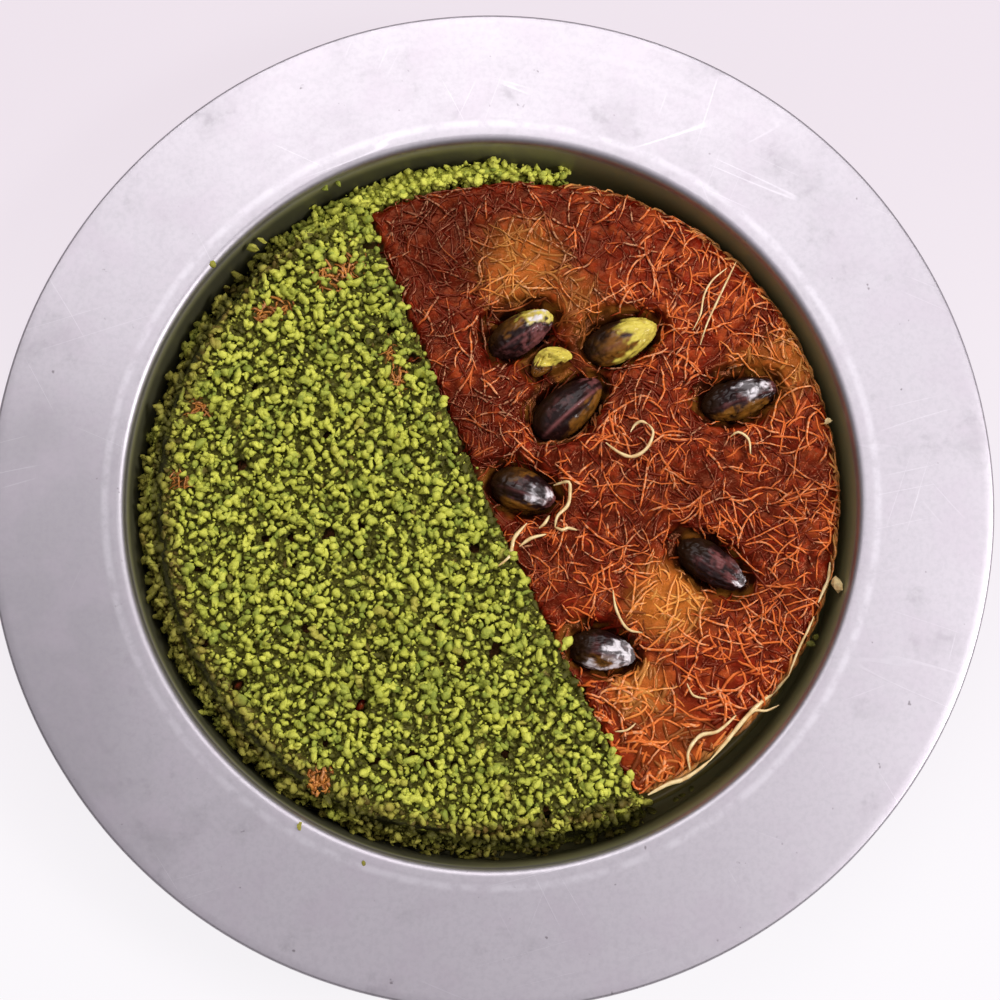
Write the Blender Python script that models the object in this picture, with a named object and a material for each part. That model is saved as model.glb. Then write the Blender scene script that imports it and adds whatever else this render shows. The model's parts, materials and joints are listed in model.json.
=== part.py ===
"""Kunafa served in its wide-brimmed metal dish.

A low round cake of baked pastry threads fills the well of a spun aluminium dish. One half of
its top is left bare and holds whole pistachio kernels. The other half lies under a layer of
chopped pistachio, which also runs down the side of the cake and along the floor of the well.

Metres, +Z up. The origin is the centre of the dish's underside.
"""

import math
import random
from collections import namedtuple

import bmesh
import bpy
from mathutils import Vector, noise
from mathutils.geometry import delaunay_2d_cdt

MM = 0.001

# The dish: one sheet of metal, spun to shape.
BRIM_RADIUS = 118 * MM
MOUTH_RADIUS = 86 * MM
DISH_HEIGHT = 25.5 * MM
SHEET = 1.5 * MM
WELL_LEAN = 2 * MM  # how much wider the well is at its mouth than at its floor
FLOOR_FILLET = 3.5 * MM
MOUTH_FILLET = 2 * MM
BRIM_DROP = 0.8 * MM  # the brim falls a little towards its edge
DISH_SIDES = 64

# Pieces that touch in the real thing keep this gap.
GAP = 0.3 * MM

# The cake: an oval, slightly uneven disc that lies off the middle of the well.
CAKE_CENTRE = Vector((1.9 * MM, 0.9 * MM))
CAKE_RADIUS = 80 * MM
CAKE_OVAL = 2 * MM
CAKE_OVAL_TURN = math.radians(24)
CAKE_WOBBLE = 0.6 * MM
CAKE_WOBBLE_TURN = math.radians(62)
CAKE_BOTTOM = SHEET + GAP
CAKE_TOP = 18 * MM
CAKE_SIDES = 72
CAKE_SIDE_RELIEF = 0.7 * MM
CAKE_RELIEF = 1.3 * MM
CAKE_RELIEF_LENGTH = 5 * MM
RIM_FADE = (-2.4 * MM, -8 * MM)  # over this stretch inside the outline the relief sets in
BARE_FADE = (0.5 * MM, 5 * MM)  # and over this one past the edge of the chopped pistachio
SIDE_FADE = 4 * MM
HOLLOW_DEPTH = 2.2 * MM  # the top sinks round each kernel
HOLLOW_REACH = 3.5 * MM
BARE_PITCH = 5 * MM
COVERED_PITCH = 12 * MM
JITTER_LENGTH = 0.37 * MM  # short, so that neighbouring points shift in different ways
JITTER_SEED = 7
# Each ring of the side, from the bottom up: how far inside the outline, and how high.
CAKE_RINGS = (
    (2.6 * MM, CAKE_BOTTOM),
    (0.6 * MM, CAKE_BOTTOM + 3 * MM),
    (0.0, CAKE_TOP - 4 * MM),
    (0.6 * MM, CAKE_TOP - 1.2 * MM),
    (2.4 * MM, CAKE_TOP),
)

# The line on the cake's top where the chopped pistachio ends: a slanting, slightly bowed chord.
EDGE_X = -0.5 * MM
EDGE_SLOPE = 0.455
EDGE_BOW = 4.2 * MM
EDGE_WAVE = 0.5 * MM
EDGE_STEPS = 52

# The chopped pistachio.
CRUMB_LAYER = 1.8 * MM
CRUMB_EDGE_LAYER = 1.2 * MM
CRUMB_RELIEF = 2.6 * MM
CRUMB_HIGHEST = 0.4  # of that relief
CRUMB_SIZE = 2.1 * MM
CRUMB_PITCH = 2.65 * MM
CRUMB_SPACING = 1.7 * MM
CRUMB_END_INSET = 0.8 * MM  # its line across the cake ends this far inside the outline
CRUMB_TOP_INSET = 0.5 * MM
# The ring of crumbs round the cake: its angle in degrees and how high it lies, in millimetres.
RING_HEIGHTS = (
    (78, 13.5),
    (95, 16.5),
    (115, 14.5),
    (138, 9.5),
    (160, 10),
    (180, 12),
    (198, 10.5),
    (220, 7.5),
    (250, 6.5),
    (296, 5.5),
)
RING_DRIFT = 1.6 * MM  # how much that height changes from place to place
RING_DRIFT_LENGTH = 16 * MM
RING_RELIEF = 1.3 * MM
RING_LOWEST = 4 * MM
RING_WALL_GAP = 0.8 * MM
RING_START = math.radians(RING_HEIGHTS[0][0])
RING_END = math.radians(RING_HEIGHTS[-1][0])
RING_END_MARGIN = 0.03  # radians kept free of inner points at each end
# Points that follow the cake's outline: distance outside it, and share of the cake's height.
SLOPE_RINGS = ((0.4 * MM, 1.0), (1.7 * MM, 0.5), (3.0 * MM, 0.0))
SLOPE_PITCH = 3.1 * MM

# Threads of pastry that stand out of the bare half.
THREAD_RADIUS = 0.5 * MM
THREAD_COUNT = 34
THREAD_STEP = 3 * MM
THREAD_STEPS = (3, 5)
THREAD_SPACING = 9 * MM  # between the middles of any two
THREAD_EDGE_CLEARANCE = 2 * MM
THREAD_RIM_CLEARANCE = 3.4 * MM
THREAD_KERNEL_CLEARANCE = 1.4 * MM
THREAD_SEED = 11

# Loose pale threads that lie where they fell, as points across the top.
LOOSE_THREADS = (
    ((8.4, -5.3), (6.6, -7.4), (7.2, -9.6)),
    ((8.6, -11.2), (11.2, -9.6), (14.6, -8.4)),
    ((14.8, 3.9), (18.1, 4.4), (18.4, 0.8), (15.6, -3.8), (17.0, -7.1), (20.2, -7.1)),
    ((27.2, 14.0), (30.4, 11.3), (33.6, 10.5), (36.8, 12.4), (38.4, 16.2), (37.2, 18.2), (34.1, 18.9)),
    ((28.6, -22.6), (30.1, -26.0), (32.2, -30.2), (35.4, -31.4)),
    ((45.8, -43.3), (47.8, -45.9), (50.4, -46.9)),
    ((58.8, 58.1), (54.3, 48.7), (49.9, 37.7)),
    ((56.7, 15.3), (58.6, 16.3), (61.0, 14.6), (61.4, 11.0)),
)

# Whole pistachio kernels. Centre, length, width and the rest are in millimetres, the turn in
# degrees. Sink is how far the kernel's middle lies under the cake's top, bend how far its middle
# bows sideways, and split the depth of the groove along its top.
Kernel = namedtuple("Kernel", "centre turn length width sink bend split")
KERNELS = {
    "kernel_north_west": Kernel((7.3, 41.6), 30, 17.6, 9.2, 1.1, 0, 0),
    "kernel_north": Kernel((31.2, 39.9), 22, 18.6, 9.8, 1.3, 0, 0.3),
    "kernel_split": Kernel((18.6, 23.4), 40, 20, 11, 2.4, 0, 1.9),
    "kernel_east": Kernel((59.3, 25.6), 17, 18.6, 9.4, 1.1, 0, 0),
    "kernel_west": Kernel((7.6, 2.8), -20, 16.2, 9.8, 1.4, 0, 0.4),
    "kernel_south_east": Kernel((52.4, -15.2), -35, 18.4, 9, 1, 0, 0),
    "kernel_south": Kernel((26.2, -35.6), -12, 15.6, 9.2, 1.1, 0, 0.3),
    "kernel_piece": Kernel((14.2, 33.4), 28, 10.4, 5.2, 0.4, 1.6, 0.6),
}
KERNEL_THICKNESS = 0.84  # of its width
KERNEL_TAPER = 0.16
GROOVE_WIDTH = 0.3  # of half its width
KERNEL_SIDES = 12
KERNEL_RINGS = 8


def smoothstep(low, high, value):
    t = min(max((value - low) / (high - low), 0.0), 1.0)
    return t * t * (3 - 2 * t)


def clear_scene():
    for obj in list(bpy.data.objects):
        bpy.data.objects.remove(obj)


def make_material(name, colour, roughness, metallic=0.0):
    material = bpy.data.materials.new(name)
    material.use_nodes = True
    shader = material.node_tree.nodes["Principled BSDF"]
    shader.inputs["Base Color"].default_value = (*colour, 1.0)
    shader.inputs["Roughness"].default_value = roughness
    shader.inputs["Metallic"].default_value = metallic
    return material


def add_object(name, mesh, material, parent=None):
    obj = bpy.data.objects.new(name, mesh)
    bpy.context.scene.collection.objects.link(obj)
    mesh.materials.append(material)
    mesh.shade_smooth()
    mesh.set_sharp_from_angle(angle=math.radians(40))
    obj.parent = parent
    return obj


def mesh_from(name, points, faces):
    """A mesh with its faces turned outwards."""
    mesh = bpy.data.meshes.new(name)
    shape = bmesh.new()
    corners = [shape.verts.new(point) for point in points]
    for face in faces:
        shape.faces.new([corners[index] for index in face])
    bmesh.ops.recalc_face_normals(shape, faces=shape.faces)
    shape.to_mesh(mesh)
    shape.free()
    return mesh


def arc(centre, radius, start, end, steps):
    """Points along an arc, as (distance from the axis, height). Angles in degrees."""
    angles = [math.radians(start + (end - start) * step / steps) for step in range(steps + 1)]
    return [(centre[0] + radius * math.cos(a), centre[1] + radius * math.sin(a)) for a in angles]


# Dish


def well_lean_angle():
    height = DISH_HEIGHT - MOUTH_FILLET - SHEET - FLOOR_FILLET
    return math.degrees(math.atan2(WELL_LEAN, height))


def dish_profile():
    """The section of the sheet, from the middle of the floor out to the edge and back underneath."""
    lean = well_lean_angle()
    floor_centre = (MOUTH_RADIUS - WELL_LEAN - FLOOR_FILLET, SHEET + FLOOR_FILLET)
    mouth_centre = (MOUTH_RADIUS + MOUTH_FILLET, DISH_HEIGHT - MOUTH_FILLET)
    edge_height = DISH_HEIGHT - BRIM_DROP
    lip = SHEET / 2
    above = [(0.0, SHEET)]
    above += arc(floor_centre, FLOOR_FILLET, -90, -lean, 2)
    above += arc(mouth_centre, MOUTH_FILLET, 180 - lean, 90, 3)
    above.append((BRIM_RADIUS - lip, edge_height))
    below = [(BRIM_RADIUS, edge_height - lip), (BRIM_RADIUS - lip, edge_height - SHEET)]
    below += arc(mouth_centre, MOUTH_FILLET - SHEET, 90, 180 - lean, 1)
    below += arc(floor_centre, FLOOR_FILLET + SHEET, -lean, -90, 2)
    below.append((0.0, 0.0))
    return above + below


def make_dish(material, parent):
    shape = bmesh.new()
    corners = [shape.verts.new((r, 0, z)) for r, z in dish_profile()]
    edges = [shape.edges.new(pair) for pair in zip(corners, corners[1:])]
    bmesh.ops.spin(
        shape,
        geom=corners + edges,
        cent=(0, 0, 0),
        axis=(0, 0, 1),
        angle=2 * math.pi,
        steps=DISH_SIDES,
        use_merge=True,
    )
    bmesh.ops.remove_doubles(shape, verts=shape.verts, dist=0.001 * MM)
    bmesh.ops.recalc_face_normals(shape, faces=shape.faces)
    mesh = bpy.data.meshes.new("dish")
    shape.to_mesh(mesh)
    shape.free()
    return add_object("dish", mesh, material, parent)


def well_radius(height):
    """The inner radius of the well at a height above its fillet."""
    top = DISH_HEIGHT - MOUTH_FILLET
    bottom = SHEET + FLOOR_FILLET
    share = min(max((height - bottom) / (top - bottom), 0.0), 1.0)
    return MOUTH_RADIUS - WELL_LEAN * (1 - share)


# Cake


def cake_radius(angle):
    oval = CAKE_OVAL * math.cos(2 * (angle - CAKE_OVAL_TURN))
    wobble = CAKE_WOBBLE * math.cos(4 * (angle - CAKE_WOBBLE_TURN))
    return CAKE_RADIUS + oval + wobble


def cake_point(angle, outside=0.0):
    reach = cake_radius(angle) + outside
    return CAKE_CENTRE + reach * Vector((math.cos(angle), math.sin(angle)))


def outside_cake(point):
    """How far a point lies outside the cake's outline; negative inside it."""
    offset = point - CAKE_CENTRE
    return offset.length - cake_radius(math.atan2(offset.y, offset.x))


def edge_x(y):
    """Where the chopped pistachio ends, at this height of the plan."""
    wave = EDGE_WAVE * noise.noise(Vector((0, y / (7 * MM), 0)))
    return EDGE_X - EDGE_SLOPE * y + EDGE_BOW * (y / CAKE_RADIUS) ** 2 + wave


def past_edge(point):
    """Distance from the edge of the chopped pistachio, positive on the bare half."""
    return (point.x - edge_x(point.y)) / math.hypot(1, EDGE_SLOPE)


def kernel_clearance(point):
    """How far a point of the plan lies outside the nearest kernel."""
    nearest = math.inf
    for kernel in KERNELS.values():
        offset = point - Vector(kernel.centre) * MM
        turn = math.radians(kernel.turn)
        cosine, sine = math.cos(turn), math.sin(turn)
        along = (offset.x * cosine + offset.y * sine) / (kernel.length / 2 * MM)
        across = (offset.y * cosine - offset.x * sine) / (kernel.width / 2 * MM)
        reach = math.hypot(along, across)
        distance = offset.length * (1 - 1 / reach) if reach > 1 else 0.0
        nearest = min(nearest, distance)
    return nearest


def cake_height(point):
    """The height of the cake's top. The half under the chopped pistachio is smooth."""
    bare = smoothstep(*BARE_FADE, past_edge(point))
    rim = smoothstep(*RIM_FADE, outside_cake(point))
    tufts = noise.noise(Vector((point.x, point.y, 0)) / CAKE_RELIEF_LENGTH)
    hollow = 1 - smoothstep(0.0, HOLLOW_REACH, kernel_clearance(point))
    return CAKE_TOP + bare * (rim * CAKE_RELIEF * tufts - HOLLOW_DEPTH * hollow)


def hex_points(pitch, reach):
    """A grid of points in rows, each shifted by half a pitch from the last."""
    rows = int(reach / (pitch * math.sqrt(0.75)))
    columns = int(reach / pitch) + 1
    for row in range(-rows, rows + 1):
        for column in range(-columns, columns + 1):
            yield Vector(((column + (row % 2) / 2) * pitch, row * pitch * math.sqrt(0.75)))


def jittered(point, amount):
    shift = noise.noise_vector(Vector((point.x, point.y, 0)) / JITTER_LENGTH)
    return point + Vector((shift.x, shift.y)) * amount


def cake_top_points():
    """Points inside the top: close together where it is bare, far apart where it is covered."""
    inside = -CAKE_RINGS[-1][0]
    points = []
    for point in hex_points(BARE_PITCH, 1.1 * CAKE_RADIUS):
        if past_edge(point) > 0.4 * BARE_PITCH and outside_cake(point) < inside - BARE_PITCH / 2:
            points.append(jittered(point, BARE_PITCH / 4))
    for point in hex_points(COVERED_PITCH, 1.1 * CAKE_RADIUS):
        if past_edge(point) < 0 and outside_cake(point) < inside - BARE_PITCH:
            points.append(point)
    return points


def triangulated(outline, inner):
    """Triangles inside an outline, with their points."""
    loop = list(range(len(outline)))
    points, _, faces, _, _, _ = delaunay_2d_cdt(outline + inner, [], [loop], 1, 1e-7)
    return points, faces


def cake_side_point(angle, inset, height, grow):
    bare = smoothstep(0, SIDE_FADE, past_edge(cake_point(angle)))
    around = Vector((math.cos(angle), math.sin(angle), height / (20 * MM))) * 9
    relief = CAKE_SIDE_RELIEF * bare * (noise.noise(around) - 0.3)
    flat = cake_point(angle, grow - inset + relief)
    return Vector((flat.x, flat.y, height))


def cake_mesh(name, grow=0.0):
    """The cake without its threads. It can be grown a little, to cut its own room."""
    angles = [2 * math.pi * side / CAKE_SIDES for side in range(CAKE_SIDES)]
    points = []
    for inset, height in CAKE_RINGS[:-1]:
        lowered = height - grow if height == CAKE_BOTTOM else height
        points += [cake_side_point(angle, inset, lowered, grow) for angle in angles]
    faces = []
    for ring in range(len(CAKE_RINGS) - 2):
        first = ring * CAKE_SIDES
        for side in range(CAKE_SIDES):
            after = (side + 1) % CAKE_SIDES
            low, high = first + side, first + CAKE_SIDES + side
            faces.append((low, first + after, first + CAKE_SIDES + after, high))
    faces.append(tuple(reversed(range(CAKE_SIDES))))
    rim = [cake_point(angle, grow - CAKE_RINGS[-1][0]) for angle in angles]
    top, top_faces = triangulated(rim, cake_top_points())
    start = len(points)
    points += [Vector((p.x, p.y, cake_height(p) + grow)) for p in top]
    faces += [tuple(start + index for index in face) for face in top_faces]
    last = start - CAKE_SIDES
    for side in range(CAKE_SIDES):
        after = (side + 1) % CAKE_SIDES
        faces.append((last + side, last + after, start + after, start + side))
    return mesh_from(name, points, faces)


# Threads


def tube_mesh(name, route, radius):
    """A thread of four flats along a route, with pointed ends."""
    points = []
    faces = []
    for index, point in enumerate(route):
        ahead = route[min(index + 1, len(route) - 1)] - route[max(index - 1, 0)]
        across = ahead.cross(Vector((0, 0, 1))).normalized()
        above = across.cross(ahead).normalized()
        for direction in (across, above, -across, -above):
            points.append(point + direction * radius)
    for ring in range(len(route) - 1):
        for side in range(4):
            low, after = 4 * ring + side, 4 * ring + (side + 1) % 4
            faces.append((low, after, after + 4, low + 4))
    faces += [(3, 2, 1, 0), tuple(len(points) - 4 + side for side in range(4))]
    return mesh_from(name, points, faces)


def laid_route(flat_points):
    """A route that lies on the top of the cake, half sunk, with its ends tucked in."""
    route = []
    last = len(flat_points) - 1
    for index, point in enumerate(flat_points):
        lift = -0.6 * THREAD_RADIUS if index in (0, last) else 0.5 * THREAD_RADIUS
        route.append(Vector((point.x, point.y, cake_height(point) + lift)))
    return route


def smooth_curve(points, pieces=2):
    """Points along a Catmull-Rom curve through the given ones."""
    padded = [2 * points[0] - points[1]] + points + [2 * points[-1] - points[-2]]
    curve = []
    for a, b, c, d in zip(padded, padded[1:], padded[2:], padded[3:]):
        for piece in range(pieces):
            t = piece / pieces
            square = (2 * a - 5 * b + 4 * c - d) * t**2
            cube = (3 * b - a - 3 * c + d) * t**3
            curve.append((2 * b + (c - a) * t + square + cube) / 2)
    return curve + [points[-1]]


def free_for_thread(point):
    on_top = outside_cake(point) < -THREAD_RIM_CLEARANCE
    bare = past_edge(point) > THREAD_EDGE_CLEARANCE
    return on_top and bare and kernel_clearance(point) > THREAD_KERNEL_CLEARANCE


def random_route(draw):
    """A wandering run of points over the bare half, cut short where it would leave it."""
    angle = draw.uniform(0, 2 * math.pi)
    reach = CAKE_RADIUS * math.sqrt(draw.random())
    point = CAKE_CENTRE + reach * Vector((math.cos(angle), math.sin(angle)))
    heading = draw.uniform(0, 2 * math.pi)
    bend = draw.uniform(-0.4, 0.4)
    route = []
    for _ in range(draw.randint(*THREAD_STEPS)):
        if not free_for_thread(point):
            break
        route.append(point)
        heading += bend + draw.uniform(-0.2, 0.2)
        point = point + THREAD_STEP * Vector((math.cos(heading), math.sin(heading)))
    return route


def thread_routes():
    draw = random.Random(THREAD_SEED)
    routes = [smooth_curve([Vector(p) * MM for p in loose]) for loose in LOOSE_THREADS]
    middles = []
    while len(routes) < THREAD_COUNT + len(LOOSE_THREADS):
        route = random_route(draw)
        if len(route) < THREAD_STEPS[0]:
            continue
        middle = route[len(route) // 2]
        if any((middle - other).length < THREAD_SPACING for other in middles):
            continue
        middles.append(middle)
        routes.append(route)
    return routes


# Kernels


def kernel_mesh(name, kernel, grow=0.0):
    """An ovoid with a blunter end. It may be bent, and split along its top."""
    thickness = KERNEL_THICKNESS * kernel.width
    half = Vector((kernel.length, kernel.width, thickness)) / 2 * MM
    half += Vector((grow, grow, grow))
    shape = bmesh.new()
    bmesh.ops.create_uvsphere(
        shape, u_segments=KERNEL_SIDES, v_segments=KERNEL_RINGS, radius=1.0
    )
    for vert in shape.verts:
        side, up, along = vert.co
        girth = 1 - KERNEL_TAPER * along
        groove = kernel.split * MM * max(up, 0) * math.exp(-((side / GROOVE_WIDTH) ** 2))
        x = half.x * along
        y = half.y * side * girth + kernel.bend * MM * (1 - along**2)
        z = half.z * up * girth - groove
        vert.co = (x, y, z)
    mesh = bpy.data.meshes.new(name)
    shape.to_mesh(mesh)
    shape.free()
    return mesh


def place_kernel(obj, kernel):
    x, y = kernel.centre
    obj.location = (x * MM, y * MM, CAKE_TOP - kernel.sink * MM)
    obj.rotation_euler = (0, 0, math.radians(kernel.turn))


def make_kernels(material, parent):
    for name, kernel in KERNELS.items():
        obj = add_object(name, kernel_mesh(name, kernel), material, parent)
        place_kernel(obj, kernel)


# Booleans


def applied_boolean(obj, operation, meshes, place=None):
    """Joins meshes to an object or cuts them from it, all at once, and keeps the result."""
    tools = bpy.data.collections.new(operation.lower())
    bpy.context.scene.collection.children.link(tools)
    for index, mesh in enumerate(meshes):
        tool = bpy.data.objects.new(mesh.name, mesh)
        tools.objects.link(tool)
        if place:
            place(tool, index)
    modifier = obj.modifiers.new(operation.lower(), "BOOLEAN")
    modifier.operation = operation
    modifier.operand_type = "COLLECTION"
    modifier.collection = tools
    bpy.context.view_layer.update()
    graph = bpy.context.evaluated_depsgraph_get()
    result = bpy.data.meshes.new_from_object(obj.evaluated_get(graph))
    obj.modifiers.remove(modifier)
    obj.data = result
    for tool in list(tools.objects):
        bpy.data.objects.remove(tool)
    bpy.data.collections.remove(tools)


def make_cake(material, parent):
    cake = add_object("pastry", cake_mesh("pastry"), material, parent)
    threads = [tube_mesh("thread", laid_route(route), THREAD_RADIUS) for route in thread_routes()]
    applied_boolean(cake, "UNION", threads)
    kernels = list(KERNELS.values())
    rooms = [kernel_mesh("room", kernel, GAP + 0.1 * MM) for kernel in kernels]
    applied_boolean(
        cake, "DIFFERENCE", rooms, lambda tool, index: place_kernel(tool, kernels[index])
    )
    return cake


# Chopped pistachio


def chord_points():
    """The end of the chopped pistachio across the cake's top, from south to north."""
    points = []
    for step in range(EDGE_STEPS + 1):
        y = CAKE_RADIUS * (2 * step / EDGE_STEPS - 1)
        point = Vector((edge_x(y), y))
        if outside_cake(point) < -CRUMB_END_INSET:
            points.append(point)
    return points


def ring_height(angle):
    """How high the ring of crumbs lies at this angle."""
    angles = [math.radians(degrees) for degrees, _ in RING_HEIGHTS]
    return interpolated(angle, angles, [height * MM for _, height in RING_HEIGHTS])


def wall_point(angle):
    reach = well_radius(RING_LOWEST) - RING_WALL_GAP
    return reach * Vector((math.cos(angle), math.sin(angle)))


def angle_of(point):
    offset = point - CAKE_CENTRE
    return math.atan2(offset.y, offset.x) % (2 * math.pi)


def steps_between(start, end, radius, pitch):
    count = max(2, round(abs(end - start) * radius / pitch))
    return [start + (end - start) * step / count for step in range(count + 1)]


def crumb_outline():
    """Round the area of the chopped pistachio: chord, then outline, then the wall of the well."""
    chord = chord_points()
    south, north = angle_of(chord[0]), angle_of(chord[-1])
    outline = list(chord)
    for angle in steps_between(north, RING_START, CAKE_RADIUS, SLOPE_PITCH):
        outline.append(cake_point(angle, 2 * GAP))
    for angle in steps_between(RING_START, RING_END, MOUTH_RADIUS, SLOPE_PITCH):
        outline.append(wall_point(angle))
    for angle in steps_between(RING_END, south, CAKE_RADIUS, SLOPE_PITCH):
        outline.append(cake_point(angle, 2 * GAP))
    return outline


def crumb_inner_points(outline):
    chord = chord_points()
    south, north = angle_of(chord[0]), angle_of(chord[-1])
    points = []
    start, end = north + RING_END_MARGIN, south - RING_END_MARGIN
    for outside, _ in SLOPE_RINGS:
        for angle in steps_between(start, end, CAKE_RADIUS, SLOPE_PITCH):
            points.append(cake_point(angle, outside))
    taken = outline + points
    for point in hex_points(CRUMB_PITCH, MOUTH_RADIUS):
        near_top = outside_cake(point) < -CRUMB_TOP_INSET
        if near_top and past_edge(point) > -CRUMB_SPACING:
            continue
        around = RING_START + RING_END_MARGIN < angle_of(point) < RING_END - RING_END_MARGIN
        if not near_top and not around:
            continue
        if point.length > wall_point(0).length - CRUMB_SPACING:
            continue
        point = jittered(point, CRUMB_PITCH / 5)
        if min((point - other).length for other in taken) > CRUMB_SPACING:
            points.append(point)
    return points


def crumb_height(point):
    """The top of the chopped pistachio: bumps as large as its pieces."""
    bumps = noise.noise(Vector((point.x, point.y, 0)) / CRUMB_SIZE)
    bumps = min(bumps, CRUMB_HIGHEST)
    thick = CRUMB_EDGE_LAYER + (CRUMB_LAYER - CRUMB_EDGE_LAYER) * smoothstep(
        0, 3 * MM, -past_edge(point)
    )
    high = CAKE_TOP + thick + CRUMB_RELIEF * bumps * smoothstep(-1 * MM, 1 * MM, -past_edge(point))
    drift = noise.noise(Vector((point.x, point.y, 9)) / RING_DRIFT_LENGTH)
    ring = ring_height(angle_of(point)) + RING_DRIFT * drift + RING_RELIEF * bumps
    low = max(ring, RING_LOWEST)
    share = interpolated(outside_cake(point), *zip(*SLOPE_RINGS))
    return low + (high - low) * share


def interpolated(value, places, results):
    """The result at a place between the given ones; past either end it stays as it is there."""
    if value <= places[0]:
        return results[0]
    for (a, b), (first, last) in zip(zip(places, places[1:]), zip(results, results[1:])):
        if value <= b:
            return first + (last - first) * (value - a) / (b - a)
    return results[-1]


def crumb_mesh():
    outline = crumb_outline()
    top, top_faces = triangulated(outline, crumb_inner_points(outline))
    count = len(outline)
    points = [Vector((p.x, p.y, crumb_height(p))) for p in top]
    floor_reach = MOUTH_RADIUS - WELL_LEAN - FLOOR_FILLET
    base = []
    for point in top[:count]:
        reach = min(point.length, floor_reach)
        flat = point * (reach / point.length)
        base.append(flat)
    start = len(points)
    points += [Vector((p.x, p.y, SHEET + GAP)) for p in base]
    faces = [tuple(face) for face in top_faces]
    faces.append(tuple(start + index for index in reversed(range(count))))
    for index in range(count):
        after = (index + 1) % count
        faces.append((start + index, start + after, after, index))
    return mesh_from("pistachio_crumbs", points, faces)


def make_crumbs(material, parent):
    crumbs = add_object("pistachio_crumbs", crumb_mesh(), material, parent)
    applied_boolean(crumbs, "DIFFERENCE", [cake_mesh("room", GAP)])
    return crumbs


def main():
    clear_scene()
    noise.seed_set(JITTER_SEED)
    serving = bpy.data.objects.new("serving", None)
    bpy.context.scene.collection.objects.link(serving)
    aluminium = make_material("aluminium", (0.62, 0.61, 0.64), 0.35, 1.0)
    baked = make_material("baked_pastry", (0.33, 0.08, 0.015), 0.25)
    chopped = make_material("chopped_pistachio", (0.33, 0.42, 0.04), 0.6)
    kernel_skin = make_material("kernel_skin", (0.10, 0.035, 0.03), 0.2)
    make_dish(aluminium, serving)
    make_cake(baked, serving)
    make_crumbs(chopped, serving)
    make_kernels(kernel_skin, serving)


main()
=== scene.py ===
"""The looks of a kunafa in its metal dish.

The dish is a spun sheet, the pastry a core under laid threads, the chopped pistachio a core under
scattered pieces, and each kernel a shape of its own. All lengths are in metres, in the frame of
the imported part. +Y is the far side in the photograph's view.
"""

import json
import math
import random
from collections import namedtuple

import bmesh
import bpy
from bpy.props import FloatProperty, FloatVectorProperty, IntProperty, PointerProperty
from mathutils import Matrix, Vector, noise
from mathutils.bvhtree import BVHTree

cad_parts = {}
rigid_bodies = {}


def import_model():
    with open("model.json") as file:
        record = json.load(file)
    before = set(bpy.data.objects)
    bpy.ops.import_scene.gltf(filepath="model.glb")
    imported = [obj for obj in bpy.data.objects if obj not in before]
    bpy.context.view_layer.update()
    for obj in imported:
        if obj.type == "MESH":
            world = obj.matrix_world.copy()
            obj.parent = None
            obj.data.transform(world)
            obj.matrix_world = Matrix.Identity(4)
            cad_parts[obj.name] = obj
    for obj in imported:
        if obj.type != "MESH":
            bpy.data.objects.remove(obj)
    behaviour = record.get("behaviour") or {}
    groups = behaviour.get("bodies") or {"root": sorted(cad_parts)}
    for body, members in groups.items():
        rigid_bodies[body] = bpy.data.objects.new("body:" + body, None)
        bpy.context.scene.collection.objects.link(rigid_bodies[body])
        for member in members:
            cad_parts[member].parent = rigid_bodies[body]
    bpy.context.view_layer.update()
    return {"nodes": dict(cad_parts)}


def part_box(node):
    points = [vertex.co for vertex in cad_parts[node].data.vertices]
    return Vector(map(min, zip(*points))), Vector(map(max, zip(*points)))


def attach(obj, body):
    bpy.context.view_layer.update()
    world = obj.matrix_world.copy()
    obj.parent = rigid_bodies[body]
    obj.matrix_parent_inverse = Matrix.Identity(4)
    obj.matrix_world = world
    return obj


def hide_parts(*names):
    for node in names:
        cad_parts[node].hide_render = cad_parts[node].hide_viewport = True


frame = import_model()

bl_info = {
    "name": "Kunafa in a metal dish",
    "version": (1, 0, 0),
    "blender": (4, 5, 0),
    "location": "3D View > Sidebar > Kunafa",
    "description": "Dresses the packed kunafa: dish, threads, chopped pistachio, kernels and syrup",
    "category": "Object",
}

MM = 0.001

# The dish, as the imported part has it.
BRIM_RADIUS = 118 * MM
MOUTH_RADIUS = 86 * MM
DISH_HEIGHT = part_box("dish")[1].z
SHEET = 1.5 * MM
WELL_LEAN = 2 * MM
FLOOR_FILLET = 3.5 * MM
MOUTH_FILLET = 2 * MM
BRIM_DROP = 0.8 * MM
WELL_SLOPE_HEIGHT = DISH_HEIGHT - MOUTH_FILLET - SHEET - FLOOR_FILLET
FOOT_RADIUS = MOUTH_RADIUS - WELL_LEAN

# Corners closer than this are one.
MERGE = 0.002 * MM
UP = Vector((0, 0, 1))

# A ray starts this far off the face that it leaves.
SKIN = 0.2 * MM

# Where the camera stands and looks, its lens and its sensor's width in millimetres.
CAMERA_PLACE = Vector((2.0, -83.6, 579.4)) * MM
CAMERA_TARGET = Vector((2.0, -0.8, 25.5)) * MM
CAMERA_LENS = 86.1
SENSOR = 36.0


# Settings


def length(name, description, default):
    return FloatProperty(
        name=name, description=description, default=default, min=0, unit="LENGTH", precision=5
    )


def opaque(numbers):
    return (*numbers, 1.0)


def colour(name, description, default):
    return FloatVectorProperty(
        name=name, description=description, default=opaque(default), size=4, min=0, max=1,
        subtype="COLOR",
    )


def amount(name, description, default, unit="NONE"):
    return FloatProperty(name=name, description=description, default=default, min=0, unit=unit)


def count(name, description, default):
    return IntProperty(name=name, description=description, default=default, min=1)


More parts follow.
